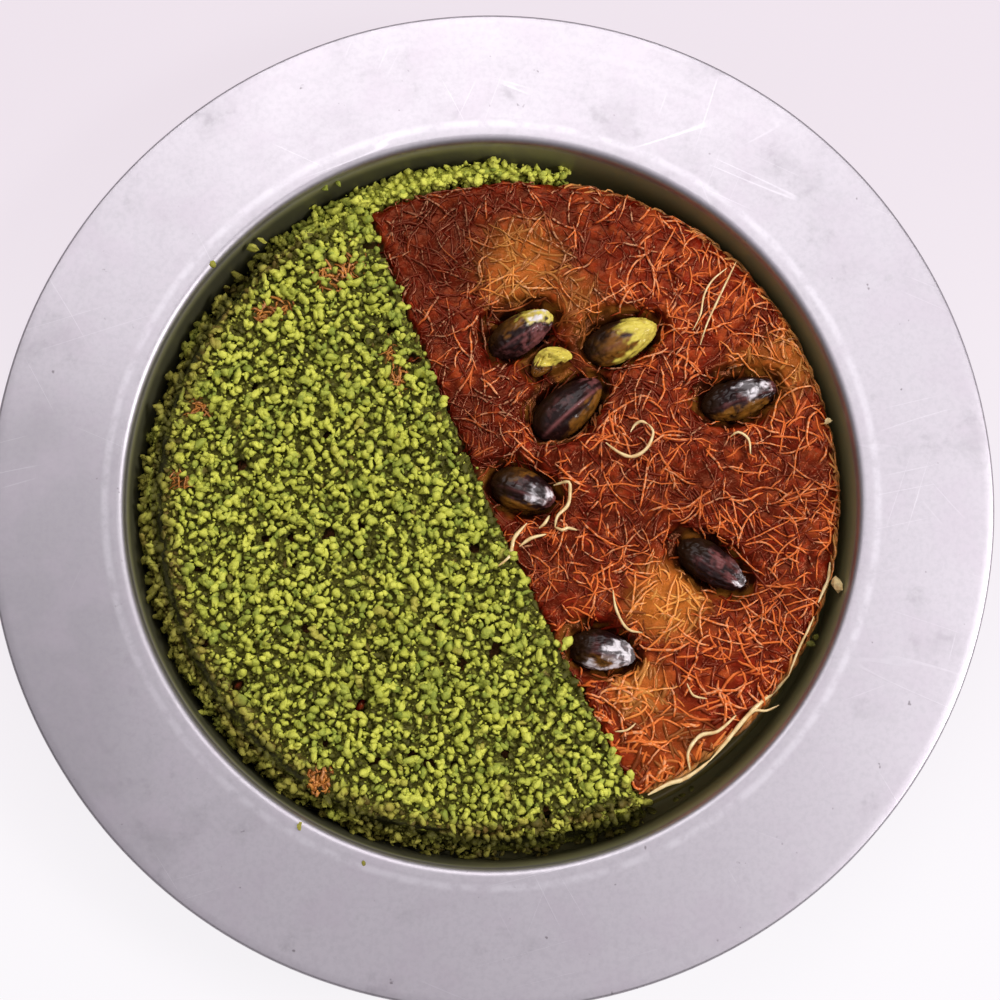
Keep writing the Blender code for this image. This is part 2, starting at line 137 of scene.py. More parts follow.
class DishSettings(bpy.types.PropertyGroup):
    """The spun metal dish."""

    metal: colour("Metal", "Colour of the clean metal", (0.48, 0.452, 0.48))
    dull: colour("Dull metal", "Colour of the worn, greyer patches", (0.385, 0.362, 0.385))
    # The next two colours are painted light: film is a painted green reflection of the nuts high on
    # the well's wall, and the one after it is painted shade deep in the well.
    film: colour("Film", "Colour of the nut oil high on the well's wall", (0.30, 0.29, 0.13))
    deep_wall_shade: colour("Stain", "Colour of the syrup deep in the well", (0.17, 0.155, 0.05))
    waviness: length("Waviness", "How far the sheet strays from a true spinning", 0.35 * MM)
    sides: count("Sides", "Faces once round the dish", 220)


class PastrySettings(bpy.types.PropertyGroup):
    """The baked threads and the pastry under them."""

    deep: colour("Deep glaze", "Colour of the soaked pastry below", (0.065, 0.0038, 0.0009))
    baked: colour("Baked thread", "Main colour of the threads", (0.220, 0.0122, 0.0036))
    light: colour("Light thread", "Colour of the less baked threads", (0.66, 0.142, 0.027))
    # Crest is a painted highlight: pale peach on the highest parts of the threads.
    crest_highlight: colour("Crest", "Colour of the threads' highest parts", (0.82, 0.43, 0.22))
    golden: colour("Golden patch", "Colour of the golden patches", (0.62, 0.195, 0.026))
    honey: colour("Honey thread", "Colour of threads in golden patches", (0.86, 0.375, 0.073))
    crisp: colour("Crisp thread", "Colour of the dry threads round the side", (0.74, 0.34, 0.095))
    pale: colour("Pale thread", "Colour of the loose unbaked threads", (0.80, 0.62, 0.30))
    radius: length("Thread radius", "Half the thickness of a thread", 0.34 * MM)


class PistachioSettings(bpy.types.PropertyGroup):
    """The chopped pistachio."""

    # Bright goes to fresh pieces, and more to high ones: partly the nut's own colour, partly
    # painted light.
    bright: colour("Bright nut", "Colour of the freshest pieces", (0.63, 0.635, 0.095))
    middle: colour("Nut", "Main colour of the pieces", (0.45, 0.47, 0.058))
    # Deep is painted shade: the colour of pieces low in the heap, in the ring and in the gap.
    deep: colour("Deep nut", "Colour low in the heap", (0.072, 0.068, 0.009))
    leaf: colour("Green nut", "Colour of the greener patches", (0.15, 0.21, 0.030))
    skin: colour("Nut skin", "Colour of the brown bits of skin", (0.19, 0.115, 0.026))
    piece: length("Piece", "Half the width of a large piece", 1.0 * MM)


class KernelSettings(bpy.types.PropertyGroup):
    """The whole pistachio kernels."""

    skin: colour("Skin", "Colour of the dark skin", (0.012, 0.0034, 0.0030))
    blush: colour("Blush", "Colour of the purple-pink parts of the skin", (0.19, 0.060, 0.056))
    flesh: colour("Flesh", "Colour of the bare yellow-green nut", (0.64, 0.52, 0.080))
    amber: colour("Amber flesh", "Colour of the nut soaked in syrup", (0.19, 0.070, 0.008))
    # Pale is mostly a painted highlight: whitish patches where the kernels catch the light.
    pale: colour("Pale skin", "Colour of the whitish, dried parts of the skin", (0.74, 0.69, 0.70))


class StageSettings(bpy.types.PropertyGroup):
    """The floor and the light."""

    floor: colour("Floor", "Colour of the plain floor", (0.077, 0.075, 0.077))
    far: colour("Far glow", "The floor's own shine, far from the viewer", (0.77, 0.69, 0.755))
    near: colour("Near glow", "The floor's own shine, close to the viewer", (0.88, 0.86, 0.885))
    overhead: amount("Overhead", "Strength of the even light from above", 0.78)
    around: amount("Around", "Strength of the even light from the sides", 0.17)
    window: amount("Window", "Power of the large soft light", 4.1, unit="POWER")
    lamp: amount("Lamp", "Power of the small light that the glaze reflects", 4.9, unit="POWER")


# Node trees


class Wire:
    """A value in a node tree. Arithmetic on it adds the nodes that work it out."""

    def __init__(self, board, socket):
        self.board = board
        self.socket = socket

    def math(self, operation, *others):
        return self.board.math(operation, self, *others)

    def __add__(self, other):
        return self.math("ADD", other)

    def __sub__(self, other):
        return self.math("SUBTRACT", other)

    def __rsub__(self, other):
        return self.board.math("SUBTRACT", other, self)

    def __mul__(self, other):
        return self.math("MULTIPLY", other)

    def __truediv__(self, other):
        return self.math("DIVIDE", other)

    def __pow__(self, other):
        return self.math("POWER", other)

    def __lt__(self, other):
        return self.math("LESS_THAN", other)

    __radd__ = __add__
    __rmul__ = __mul__

    def ramp(self, low, high):
        """0 below low, 1 above high, and smooth between them. Low may be the larger one."""
        values = {"Value": self, "From Min": low, "From Max": high}
        return self.board.add("ShaderNodeMapRange", {"interpolation_type": "SMOOTHSTEP"}, values)

    def also(self, output):
        """Another output of the node that this value comes from."""
        return Wire(self.board, self.socket.node.outputs[output])


class Board:
    """Builds one node tree."""

    def __init__(self, tree):
        self.tree = tree

    def add(self, kind, settings=None, values=None, output=0):
        node = self.tree.nodes.new(kind)
        for name, setting in (settings or {}).items():
            setattr(node, name, setting)
        for key, value in (values or {}).items():
            if isinstance(value, Wire):
                self.tree.links.new(value.socket, node.inputs[key])
            else:
                node.inputs[key].default_value = value
        return Wire(self, node.outputs[output]) if node.outputs else None

    def math(self, operation, *values):
        return self.add("ShaderNodeMath", {"operation": operation}, dict(enumerate(values)))

    def vector(self, operation, *values, output=0):
        settings = {"operation": operation}
        return self.add("ShaderNodeVectorMath", settings, dict(enumerate(values)), output)

    def scaled(self, vector, factor):
        values = {0: vector, "Scale": factor}
        return self.add("ShaderNodeVectorMath", {"operation": "SCALE"}, values)

    def mix(self, factor, *colours):
        """Blends two colours. Each is a wire, a setting or three numbers."""
        first, second = (opaque(c) if isinstance(c, tuple) else c for c in colours)
        values = {0: factor, 6: first, 7: second}
        return self.add("ShaderNodeMix", {"data_type": "RGBA"}, values, 2)

    def noise(self, place, size, detail=2.0, roughness=0.5, distortion=0.0):
        """Soft noise from 0 to 1 with features of this size, in metres."""
        values = {"Vector": place, "Scale": 1 / size, "Detail": detail, "Roughness": roughness}
        return self.add("ShaderNodeTexNoise", {}, {**values, "Distortion": distortion})

    def xyz(self, x, y, z):
        return self.add("ShaderNodeCombineXYZ", {}, {"X": x, "Y": y, "Z": z})

    def apart(self, vector):
        x = self.add("ShaderNodeSeparateXYZ", {}, {0: vector})
        return x, x.also("Y"), x.also("Z")


def material_board(name):
    """A new material, its board, and the place on the piece."""
    material = bpy.data.materials.new(name)
    material.use_nodes = True
    material.node_tree.nodes.clear()
    board = Board(material.node_tree)
    return material, board, board.add("ShaderNodeTexCoord", output="Object")


def painted(board, name):
    """A number that the piece's mesh carries."""
    return board.add("ShaderNodeAttribute", {"attribute_name": name}, output="Fac")


def close_material(board, base, rough, others, relief=None):
    """Ends a material. Relief is a height, how far it reaches and how strongly."""
    values = {"Base Color": base, "Roughness": rough, **others}
    if relief:
        bump = dict(zip(("Height", "Distance", "Strength"), relief))
        values["Normal"] = board.add("ShaderNodeBump", {}, bump)
    shader = board.add("ShaderNodeBsdfPrincipled", {}, values)
    board.add("ShaderNodeOutputMaterial", {}, {"Surface": shader})


def geometry_board(name, **inputs):
    """A geometry tree with inputs of these kinds and names, and the inputs' values."""
    tree = bpy.data.node_groups.new(name, "GeometryNodeTree")
    tree.interface.new_socket("Geometry", in_out="INPUT", socket_type="NodeSocketGeometry")
    tree.interface.new_socket("Geometry", in_out="OUTPUT", socket_type="NodeSocketGeometry")
    for kind, labels in inputs.items():
        for label in labels.split():
            tree.interface.new_socket(label, in_out="INPUT", socket_type="NodeSocket" + kind)
    board = Board(tree)
    source = tree.nodes.new("NodeGroupInput")
    return board, {s.name: Wire(board, s) for s in source.outputs if s.name}


def close_geometry(board, geometry, material):
    """Every tree ends here: real mesh, smooth, with its material."""
    values = {"Geometry": realised(board, geometry)}
    smooth = board.add("GeometryNodeSetShadeSmooth", {}, values)
    done = board.add("GeometryNodeSetMaterial", {}, {"Geometry": smooth, "Material": material})
    board.add("NodeGroupOutput", {}, {"Geometry": done})
    return board.tree


def realised(board, geometry):
    return board.add("GeometryNodeRealizeInstances", {}, {"Geometry": geometry})


def position(board):
    return board.add("GeometryNodeInputPosition")


def moved(board, geometry, place):
    values = {"Geometry": geometry, "Position": place}
    return board.add("GeometryNodeSetPosition", {}, values)


def stored(board, geometry, name, value, kind="FLOAT"):
    settings = {"data_type": kind, "domain": "POINT"}
    values = {"Geometry": geometry, "Name": name, "Value": value}
    return board.add("GeometryNodeStoreNamedAttribute", settings, values)


def named(board, name, kind="FLOAT"):
    settings = {"data_type": kind}
    return board.add("GeometryNodeInputNamedAttribute", settings, {"Name": name})


def chance(board, low, high, seed):
    """A random number for each point."""
    values = {2: low, 3: high, "Seed": seed}
    return board.add("FunctionNodeRandomValue", {"data_type": "FLOAT"}, values, 1)


def closest(board, surface, place):
    """The point of the surface nearest to this place."""
    values = {"Geometry": surface, "Sample Position": place}
    return board.add("GeometryNodeProximity", {"target_element": "FACES"}, values)


def sampled(board, surface, place, value, kind="FLOAT"):
    """What the surface carries at its point nearest to this place."""
    values = {"Mesh": surface, "Value": value, "Sample Position": place}
    return board.add("GeometryNodeSampleNearestSurface", {"data_type": kind}, values)


def normal_at(board, surface, place):
    normal = board.add("GeometryNodeInputNormal")
    return sampled(board, surface, place, normal, "FLOAT_VECTOR")


def tubes(board, curves, sides, radius):
    """Round threads along curves."""
    values = {"Resolution": sides, "Radius": 1.0}
    circle = board.add("GeometryNodeCurvePrimitiveCircle", {}, values)
    values = {"Curve": curves, "Profile Curve": circle, "Scale": radius, "Fill Caps": True}
    return board.add("GeometryNodeCurveToMesh", {}, values)


# Meshes and objects


def linked(name, data):
    """A new object in the scene."""
    obj = bpy.data.objects.new(name, data)
    bpy.context.scene.collection.objects.link(obj)
    return obj


def grown(name, mesh, tree, values):
    """Runs a geometry tree on a mesh and keeps the result as a plain mesh."""
    obj = linked(name, mesh)
    modifier = obj.modifiers.new(tree.name, "NODES")
    modifier.node_group = tree
    sockets = {
        item.name: item.identifier
        for item in tree.interface.items_tree
        if item.item_type == "SOCKET" and item.in_out == "INPUT"
    }
    for label, value in values.items():
        modifier[sockets[label]] = value
    return keep_result(obj)


def keep_result(obj):
    """Swaps an object's mesh for what its modifiers make of it, and removes them."""
    bpy.context.view_layer.update()
    graph = bpy.context.evaluated_depsgraph_get()
    result = bpy.data.meshes.new_from_object(
        obj.evaluated_get(graph), preserve_all_data_layers=True, depsgraph=graph
    )
    obj.modifiers.clear()
    old = obj.data
    obj.data = result
    result.name = obj.name
    if old.users == 0:
        bpy.data.meshes.remove(old)
    if not result.polygons:
        raise RuntimeError(f"{obj.name} came out empty")
    return obj


def dressed(obj, slot, *nodes):
    """The piece belongs to the serving and stands for these nodes. Its slot is not used."""
    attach(obj, "root")
    if nodes:
        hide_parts(*nodes)


def placed(mesh, slot, *nodes):
    """Turns a finished mesh into a piece of the same name."""
    dressed(linked(mesh.name, mesh), slot, *nodes)


def mesh_from(name, shape):
    mesh = bpy.data.meshes.new(name)
    shape.to_mesh(mesh)
    shape.free()
    return mesh


def smoothstep(low, high, value):
    t = min(max((value - low) / (high - low), 0.0), 1.0)
    return t * t * (3 - 2 * t)


def turned_outwards(mesh):
    """Merges a mesh's corners and turns its faces outwards."""
    shape = bmesh.new()
    shape.from_mesh(mesh)
    bmesh.ops.remove_doubles(shape, verts=shape.verts, dist=MERGE)
    bmesh.ops.recalc_face_normals(shape, faces=shape.faces)
    shape.to_mesh(mesh)
    shape.free()


def node_copy(name, node):
    """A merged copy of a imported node's mesh, as a new object."""
    mesh = frame["nodes"][node].data.copy()
    mesh.materials.clear()
    turned_outwards(mesh)
    return linked(name, mesh)


def remeshed(obj, voxel, smoothing):
    """Gives an object an even mesh, so that relief can be pushed into it."""
    remesh = obj.modifiers.new("remesh", "REMESH")
    remesh.mode = "VOXEL"
    remesh.voxel_size = voxel
    smooth = obj.modifiers.new("smooth", "SMOOTH")
    smooth.factor = 0.5
    smooth.iterations = smoothing
    keep_result(obj)
    obj.data.shade_smooth()
    return obj


def node_middle(node):
    low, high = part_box(node)
    return (low + high) / 2


def node_tree_of(*nodes):
    """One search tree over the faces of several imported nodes."""
    points = []
    faces = []
    for node in nodes:
        mesh = frame["nodes"][node].data
        start = len(points)
        points += [vert.co.copy() for vert in mesh.vertices]
        faces += [[start + index for index in face.vertices] for face in mesh.polygons]
    return BVHTree.FromPolygons(points, faces)


def paint(mesh, name, numbers):
    """Stores one number a vertex."""
    layer = mesh.attributes.new(name, "FLOAT", "POINT")
    layer.data.foreach_set("value", numbers)


def pushed(mesh, distances):
    """Moves each vertex along its normal. The normals are all read before the first move."""
    places = [vert.co + vert.normal * far for vert, far in zip(mesh.vertices, distances)]
    mesh.vertices.foreach_set("co", [number for place in places for number in place])
    mesh.update()


# Dish


def arc(centre, radius, start, end, steps):
    """Points along an arc, as (distance from the axis, height). Angles in degrees."""
    angles = [math.radians(start + (end - start) * step / steps) for step in range(steps + 1)]
    return [(centre[0] + radius * math.cos(a), centre[1] + radius * math.sin(a)) for a in angles]


def straight(start, end, steps):
    """Points after the first along a straight line."""
    return [
        tuple(a + (b - a) * step / steps for a, b in zip(start, end))
        for step in range(1, steps + 1)
    ]


def dish_profile():
    """The section of the sheet, from the middle of the floor out to the edge and back beneath."""
    lean = math.degrees(math.atan2(WELL_LEAN, WELL_SLOPE_HEIGHT))
    floor_centre = (FOOT_RADIUS - FLOOR_FILLET, SHEET + FLOOR_FILLET)
    mouth_centre = (MOUTH_RADIUS + MOUTH_FILLET, DISH_HEIGHT - MOUTH_FILLET)
    edge_height = DISH_HEIGHT - BRIM_DROP
    lip = SHEET / 2
    inside = [(0.0, SHEET)] + straight((0.0, SHEET), (floor_centre[0] - 1 * MM, SHEET), 10)
    inside += arc(floor_centre, FLOOR_FILLET, -90, -lean, 8)
    wall = arc(mouth_centre, MOUTH_FILLET, 180 - lean, 90, 10)
    inside += straight(inside[-1], wall[0], 8)[:-1] + wall
    inside += straight(inside[-1], (BRIM_RADIUS - lip, edge_height), 16)[:-1]
    edge = arc((BRIM_RADIUS - lip, edge_height - lip), lip, 88, -88, 8)
    under = arc(mouth_centre, MOUTH_FILLET - SHEET, 90, 180 - lean, 4)
    outer = arc(floor_centre, FLOOR_FILLET + SHEET, -lean, -90, 8)
    beneath = straight(edge[-1], under[0], 16)[:-1] + under
    beneath += straight(under[-1], outer[0], 8)[:-1] + outer
    beneath += straight(outer[-1], (0.0, 0.0), 10)
    return inside + edge + beneath


def profile_mesh(points):
    mesh = bpy.data.meshes.new("profile")
    corners = [(reach, 0.0, height) for reach, height in points]
    mesh.from_pydata(corners, [(i, i + 1) for i in range(len(corners) - 1)], [])
    return mesh


def spun_sheet_tree():
    """Spins the points of a section round Z, with a slow waviness towards the edge."""
    board, given = geometry_board(
        "Spun sheet", Int="Sides", Float="Waviness Reach", Material="Material"
    )
    section = given["Geometry"]
    component = {"component": "MESH"}
    rows = board.add("GeometryNodeAttributeDomainSize", component, {"Geometry": section})
    size = {"Size X": 1.0, "Size Y": 1.0, "Vertices X": given["Sides"] + 1, "Vertices Y": rows}
    grid = board.add("GeometryNodeMeshGrid", {}, size)
    across, along, _ = board.apart(position(board))
    row = ((along + 0.5) * (rows - 1)).math("ROUND")
    kind = {"data_type": "FLOAT_VECTOR", "domain": "POINT"}
    values = {"Geometry": section, "Value": position(board), "Index": row}
    reach, _, height = board.apart(board.add("GeometryNodeSampleIndex", kind, values))
    turn = (across + 0.5) * math.tau
    cosine, sine = turn.math("COSINE"), turn.math("SINE")
    outwards = (reach / given["Reach"]) ** 2
    slow = board.noise(board.xyz(cosine * 1.7, sine * 1.7, reach * 9.0), 1.0, 1.0) - 0.5
    drift = board.noise(board.xyz(cosine * 2.3, sine * 2.3, 7.0), 1.0, 1.0) - 0.5
    lift = slow * outwards * given["Waviness"] * 2.0
    spread = drift * outwards * given["Waviness"]
    place = board.xyz((reach + spread) * cosine, (reach + spread) * sine, height + lift)
    spun = {"Geometry": moved(board, grid, place), "Distance": MERGE}
    closed = board.add("GeometryNodeMergeByDistance", {}, spun)
    return close_geometry(board, closed, given["Material"])


def metal_material(settings):
    """Satin spun metal: cloudy wear, hair scratches, a few pits, a painted highlight round the
    mouth, and painted reflection and shade in the well.
    """
    material, board, place = material_board("worn_metal")
    x, y, z = board.apart(place)
    reach = (x * x + y * y) ** 0.5
    turn = y.math("ARCTAN2", x)
    clouds = board.noise(place, 22 * MM, 5.0, 0.6)
    mottle = board.noise(place, 5 * MM, 4.0, 0.62)
    rings = board.noise(board.xyz(reach * 900.0, turn * 1.2, 0.0), 1.0, 3.0, 0.6)
    scratches = hair_scratches(board, place)
    worn = x.ramp(-60 * MM, -112 * MM) * y.ramp(45 * MM, 0.0) * 1.2
    specks = board.noise(place, 2.4 * MM, 2.0, 0.5).ramp(0.735, 0.80)
    grime = (clouds.ramp(0.45, 0.72) * 0.55 + mottle.ramp(0.5, 0.75) * 0.35).ramp(0.0, 1.0)
    base = board.mix((grime + worn).ramp(0.0, 1.0), settings.metal, settings.dull)
    grit = board.noise(place, 1.4 * MM, 3.0, 0.7).ramp(0.40, 0.66)
    base = board.mix(grit * 0.16, base, (0.30, 0.28, 0.31))
    blush = board.noise(place, 13 * MM, 3.0, 0.6).ramp(0.45, 0.70)
    base = board.mix(blush * 0.35, base, (0.455, 0.405, 0.450))
    base = board.mix(scratches * 0.16, base, (0.72, 0.70, 0.73))
    base = board.mix(specks * 0.7, base, (0.16, 0.14, 0.15))
    # Painted highlight: a lighter band round the brim just outside the mouth, where the sheet
    # bends.
    bend = (reach - (MOUTH_RADIUS + 4.6 * MM)).math("ABSOLUTE").ramp(1.4 * MM, 0.2 * MM)
    base = board.mix(bend * mottle.ramp(0.3, 0.6) * 0.30, base, (0.74, 0.72, 0.75))
    # Painted reflection and shade inside the well: green high on the wall, darker deeper down, and
    # darker still on the left below the ring of nuts.
    inside = z.ramp(DISH_HEIGHT - 1.0 * MM, DISH_HEIGHT - 4.2 * MM) * painted(board, "inner")
    depth = z.ramp(DISH_HEIGHT - 3 * MM, DISH_HEIGHT - 13 * MM)
    wall_reflection_and_shade = board.mix(depth, settings.film, settings.deep_wall_shade)
    green = z.ramp(DISH_HEIGHT - 2.5 * MM, DISH_HEIGHT - 7 * MM) * x.ramp(15 * MM, -20 * MM)
    wall_reflection_and_shade = board.mix(green * 0.9, wall_reflection_and_shade, (0.040, 0.040, 0.012))
    base = board.mix(inside * 0.95, base, wall_reflection_and_shade)
    rough = 0.36 + 0.10 * clouds + 0.07 * rings + 0.05 * mottle - 0.05 * scratches
    relief = rings * 0.25 + mottle * 0.45 + scratches * 0.25
    metallic = {"Metallic": 1.0 - inside * 0.75}
    close_material(board, base, rough, metallic, (relief, 0.05 * MM, 0.5))
    return material


SCRATCH_ANGLES = (0.3, 1.2, 2.1, 2.75)


def hair_scratches(board, place):
    """Long thin bent lines that run in several directions, each in a few places only."""
    x, y, _ = board.apart(place)
    bend = board.noise(place, 90 * MM, 0.0)
    total = 0.0
    for index, angle in enumerate(SCRATCH_ANGLES):
        cosine, sine = math.cos(angle), math.sin(angle)
        along = x * cosine + y * sine
        across = y * cosine - x * sine + bend * (12 * MM)
        spot = board.xyz(along / (160 * MM), across / (8 * MM), 3.7 * index)
        hair = 1 - (board.noise(spot, 1.0, 0.0) - 0.5).math("ABSOLUTE").ramp(0.002, 0.008)
        patch = board.noise(board.xyz(x, y, (20 + 31 * index) * MM), 30 * MM, 1.0)
        total = hair * patch.ramp(0.58, 0.70) + total
    return total.ramp(0.0, 1.0)


class KUNAFA_OT_dish(bpy.types.Operator):
    """Spin the metal dish"""

    bl_idname = "kunafa.dish"
    bl_label = "Dish"

    def execute(self, context):
        settings = context.scene.kunafa_dish
        values = {
            "Sides": settings.sides,
            "Waviness": settings.waviness,
            "Reach": BRIM_RADIUS,
            "Material": metal_material(settings),
        }
        dish = grown("metal_dish", profile_mesh(dish_profile()), spun_sheet_tree(), values)
        turned_outwards(dish.data)
        # Inner marks the well's inner faces, which take the painted reflection and shade.
        inner = []
        for vert in dish.data.vertices:
            outwards = vert.normal.xy.dot(vert.co.xy.normalized())
            inner.append(float(outwards < 0.3 and vert.normal.z > -0.3))
        paint(dish.data, "inner", inner)
        dressed(dish, "dish_metal", "dish")
        return {"FINISHED"}


# Pastry


# Golden patches on the bare half: centre in millimetres, reach in millimetres, strength.
GOLDEN_PATCHES = (
    ((6.8, 57.6), 13, 0.7),
    ((41.6, -23.5), 11, 1.0),
    ((64.2, 29.3), 10, 0.6),
    ((34.8, -44.7), 9, 0.7),
    ((26.0, 41.6), 9, 0.5),
    ((71.4, 34.2), 9, 0.6),
    ((41.5, -58.0), 12, 0.25),
    ((20.0, 50.0), 8, 0.35),
)
# Dark maroon patches, given the same way.
DARK_PATCHES = (
    ((-12.0, 64.0), 17, 1.0),
    ((-8.0, 16.0), 13, 0.95),
    ((-16.0, 40.0), 9, 0.6),
    ((14.0, 24.0), 11, 0.75),
    ((72.0, 4.0), 13, 0.45),
    ((30.0, 8.0), 9, 0.3),
    ((46.0, 0.0), 12, 0.45),
    ((36.0, -6.0), 9, 0.5),
    ((66.0, -22.0), 9, 0.4),
    ((12.0, -18.0), 9, 0.45),
    ((30.0, 26.0), 8, 0.35),
)


# The middle of the lighter baked part at the far right.
LIGHT_PLACE = Vector((46.0, 54.0)) * MM

# The hollows, and the painted shade in them, reach a little further to the far left of the kernels.
HOLLOW_SHIFT = Vector((-2.0, 1.6, 0.0)) * MM
KERNEL_NODES = [name for name in frame["nodes"] if name.startswith("kernel_")]

# Only the cake's top, above this height, can have the sheet of crumbs over it.
TOP_LEVEL = 14 * MM
FOOT_LEVEL = 3.2 * MM


def patched(point, patches):
    """How strongly the patches show here, from 0 to 1."""
    amount = 0.0
    for centre, reach, strength in patches:
        distance = (point.xy - Vector(centre) * MM).length / (reach * MM)
        amount = max(amount, strength * (1 - smoothstep(0.35, 1.15, distance)))
    return amount


def pastry_core(settings):
    """The pastry under the threads, with numbers on it that say what lies where."""
    core = remeshed(node_copy("pastry_core", "pastry"), 1.0 * MM, 3)
    mesh = core.data
    crumbs = node_tree_of("pistachio_crumbs")
    kernels = node_tree_of(*KERNEL_NODES)
    columns = {name: [] for name in ("bare", "hollow", "gold", "tone", "side", "cell")}
    for vert in mesh.vertices:
        point, normal = vert.co, vert.normal
        covered = crumbs.ray_cast(point + normal * SKIN, normal, 3 * MM)[0] is not None
        if point.z > TOP_LEVEL:
            covered = covered or crumbs.ray_cast(point + UP * SKIN, UP)[0] is not None
        nearest = min(
            kernels.find_nearest(point)[3],
            kernels.find_nearest(point - HOLLOW_SHIFT)[3] + 0.8 * MM,
        )
        numbers = (
            0.0 if covered or point.z < FOOT_LEVEL else 1.0,
            1 - smoothstep(0.8 * MM, 3.2 * MM, nearest),
            patched(point, GOLDEN_PATCHES),
            patched(point, DARK_PATCHES),
            1 - smoothstep(0.25, 0.60, normal.z),
            smoothstep(-0.20, 0.20, noise.fractal(point / (2.4 * MM), 1.0, 2.0, 2)),
        )
        for column, number in zip(columns.values(), numbers):
            column.append(number)
    for name, column in columns.items():
        paint(mesh, name, column)
    heights = []
    for vert, free, pit, _, _, edge, high in zip(mesh.vertices, *columns.values()):
        tuft = noise.fractal(vert.co / (2.2 * MM), 1.0, 2.0, 3)
        rise = 0.26 * tuft + (0.5 * high - 0.25) * (1 - edge) - 1.3 * pit
        heights.append(rise * MM if free else -1.6 * MM)
    pushed(mesh, heights)
    mesh.materials.append(glaze_material(settings))
    return core


def lighter_part(board, place):
    """1 in the middle of the lighter baked part, 0 away from it."""
    x, y, _ = board.apart(place)
    away = ((x - LIGHT_PLACE.x) ** 2.0 + (y - LIGHT_PLACE.y) ** 2.0) ** 0.5
    return away.ramp(28 * MM, 8 * MM)


def glaze_material(settings):
    """Pastry soaked in syrup: dark and wet, lighter in golden patches, with painted shade below
    nuts and kernels.
    """
    material, board, place = material_board("syrup_glaze")
    grain = board.noise(place, 1.6 * MM, 3.0, 0.6, 0.6)
    broad = board.noise(place, 9 * MM, 3.0, 0.55)
    gold = painted(board, "gold")
    high = painted(board, "cell")
    south = board.apart(place)[1].ramp(-15 * MM, -60 * MM)
    base = board.mix(high * grain.ramp(0.30, 0.70) * 0.9, settings.deep, settings.baked)
    lit = lighter_part(board, place)
    base = board.mix((south + lit).ramp(0.0, 1.0) * 0.5, base, settings.baked)
    pale = 0.18 + south * 0.25 + lit * 0.2
    base = board.mix(high * broad.ramp(0.40, 0.66) * pale, base, settings.light)
    base = board.mix(gold * (0.3 + 0.5 * grain), base, settings.golden)
    base = board.mix(painted(board, "tone") * 0.7, base, settings.deep)
    # Painted shade round the kernels: near black in the hollows, going over into amber syrup.
    hollow_shade_and_syrup = board.noise(place, 5 * MM, 1.0).ramp(0.45, 0.70)
    hollow_shade_and_syrup = board.mix(hollow_shade_and_syrup, (0.012, 0.0035, 0.0010), (0.17, 0.062, 0.009))
    base = board.mix(painted(board, "hollow") * 0.9, base, hollow_shade_and_syrup)
    # Painted shade: where the chopped pistachio covers the pastry, it is painted dark olive-brown.
    base = board.mix(painted(board, "bare"), (0.030, 0.020, 0.005), base)
    shine = {"Specular IOR Level": 0.35, "Specular Tint": opaque((1.0, 0.34, 0.15))}
    close_material(board, base, 0.09 + 0.08 * grain, shine, (grain, 0.6 * MM, 0.7))
    return material


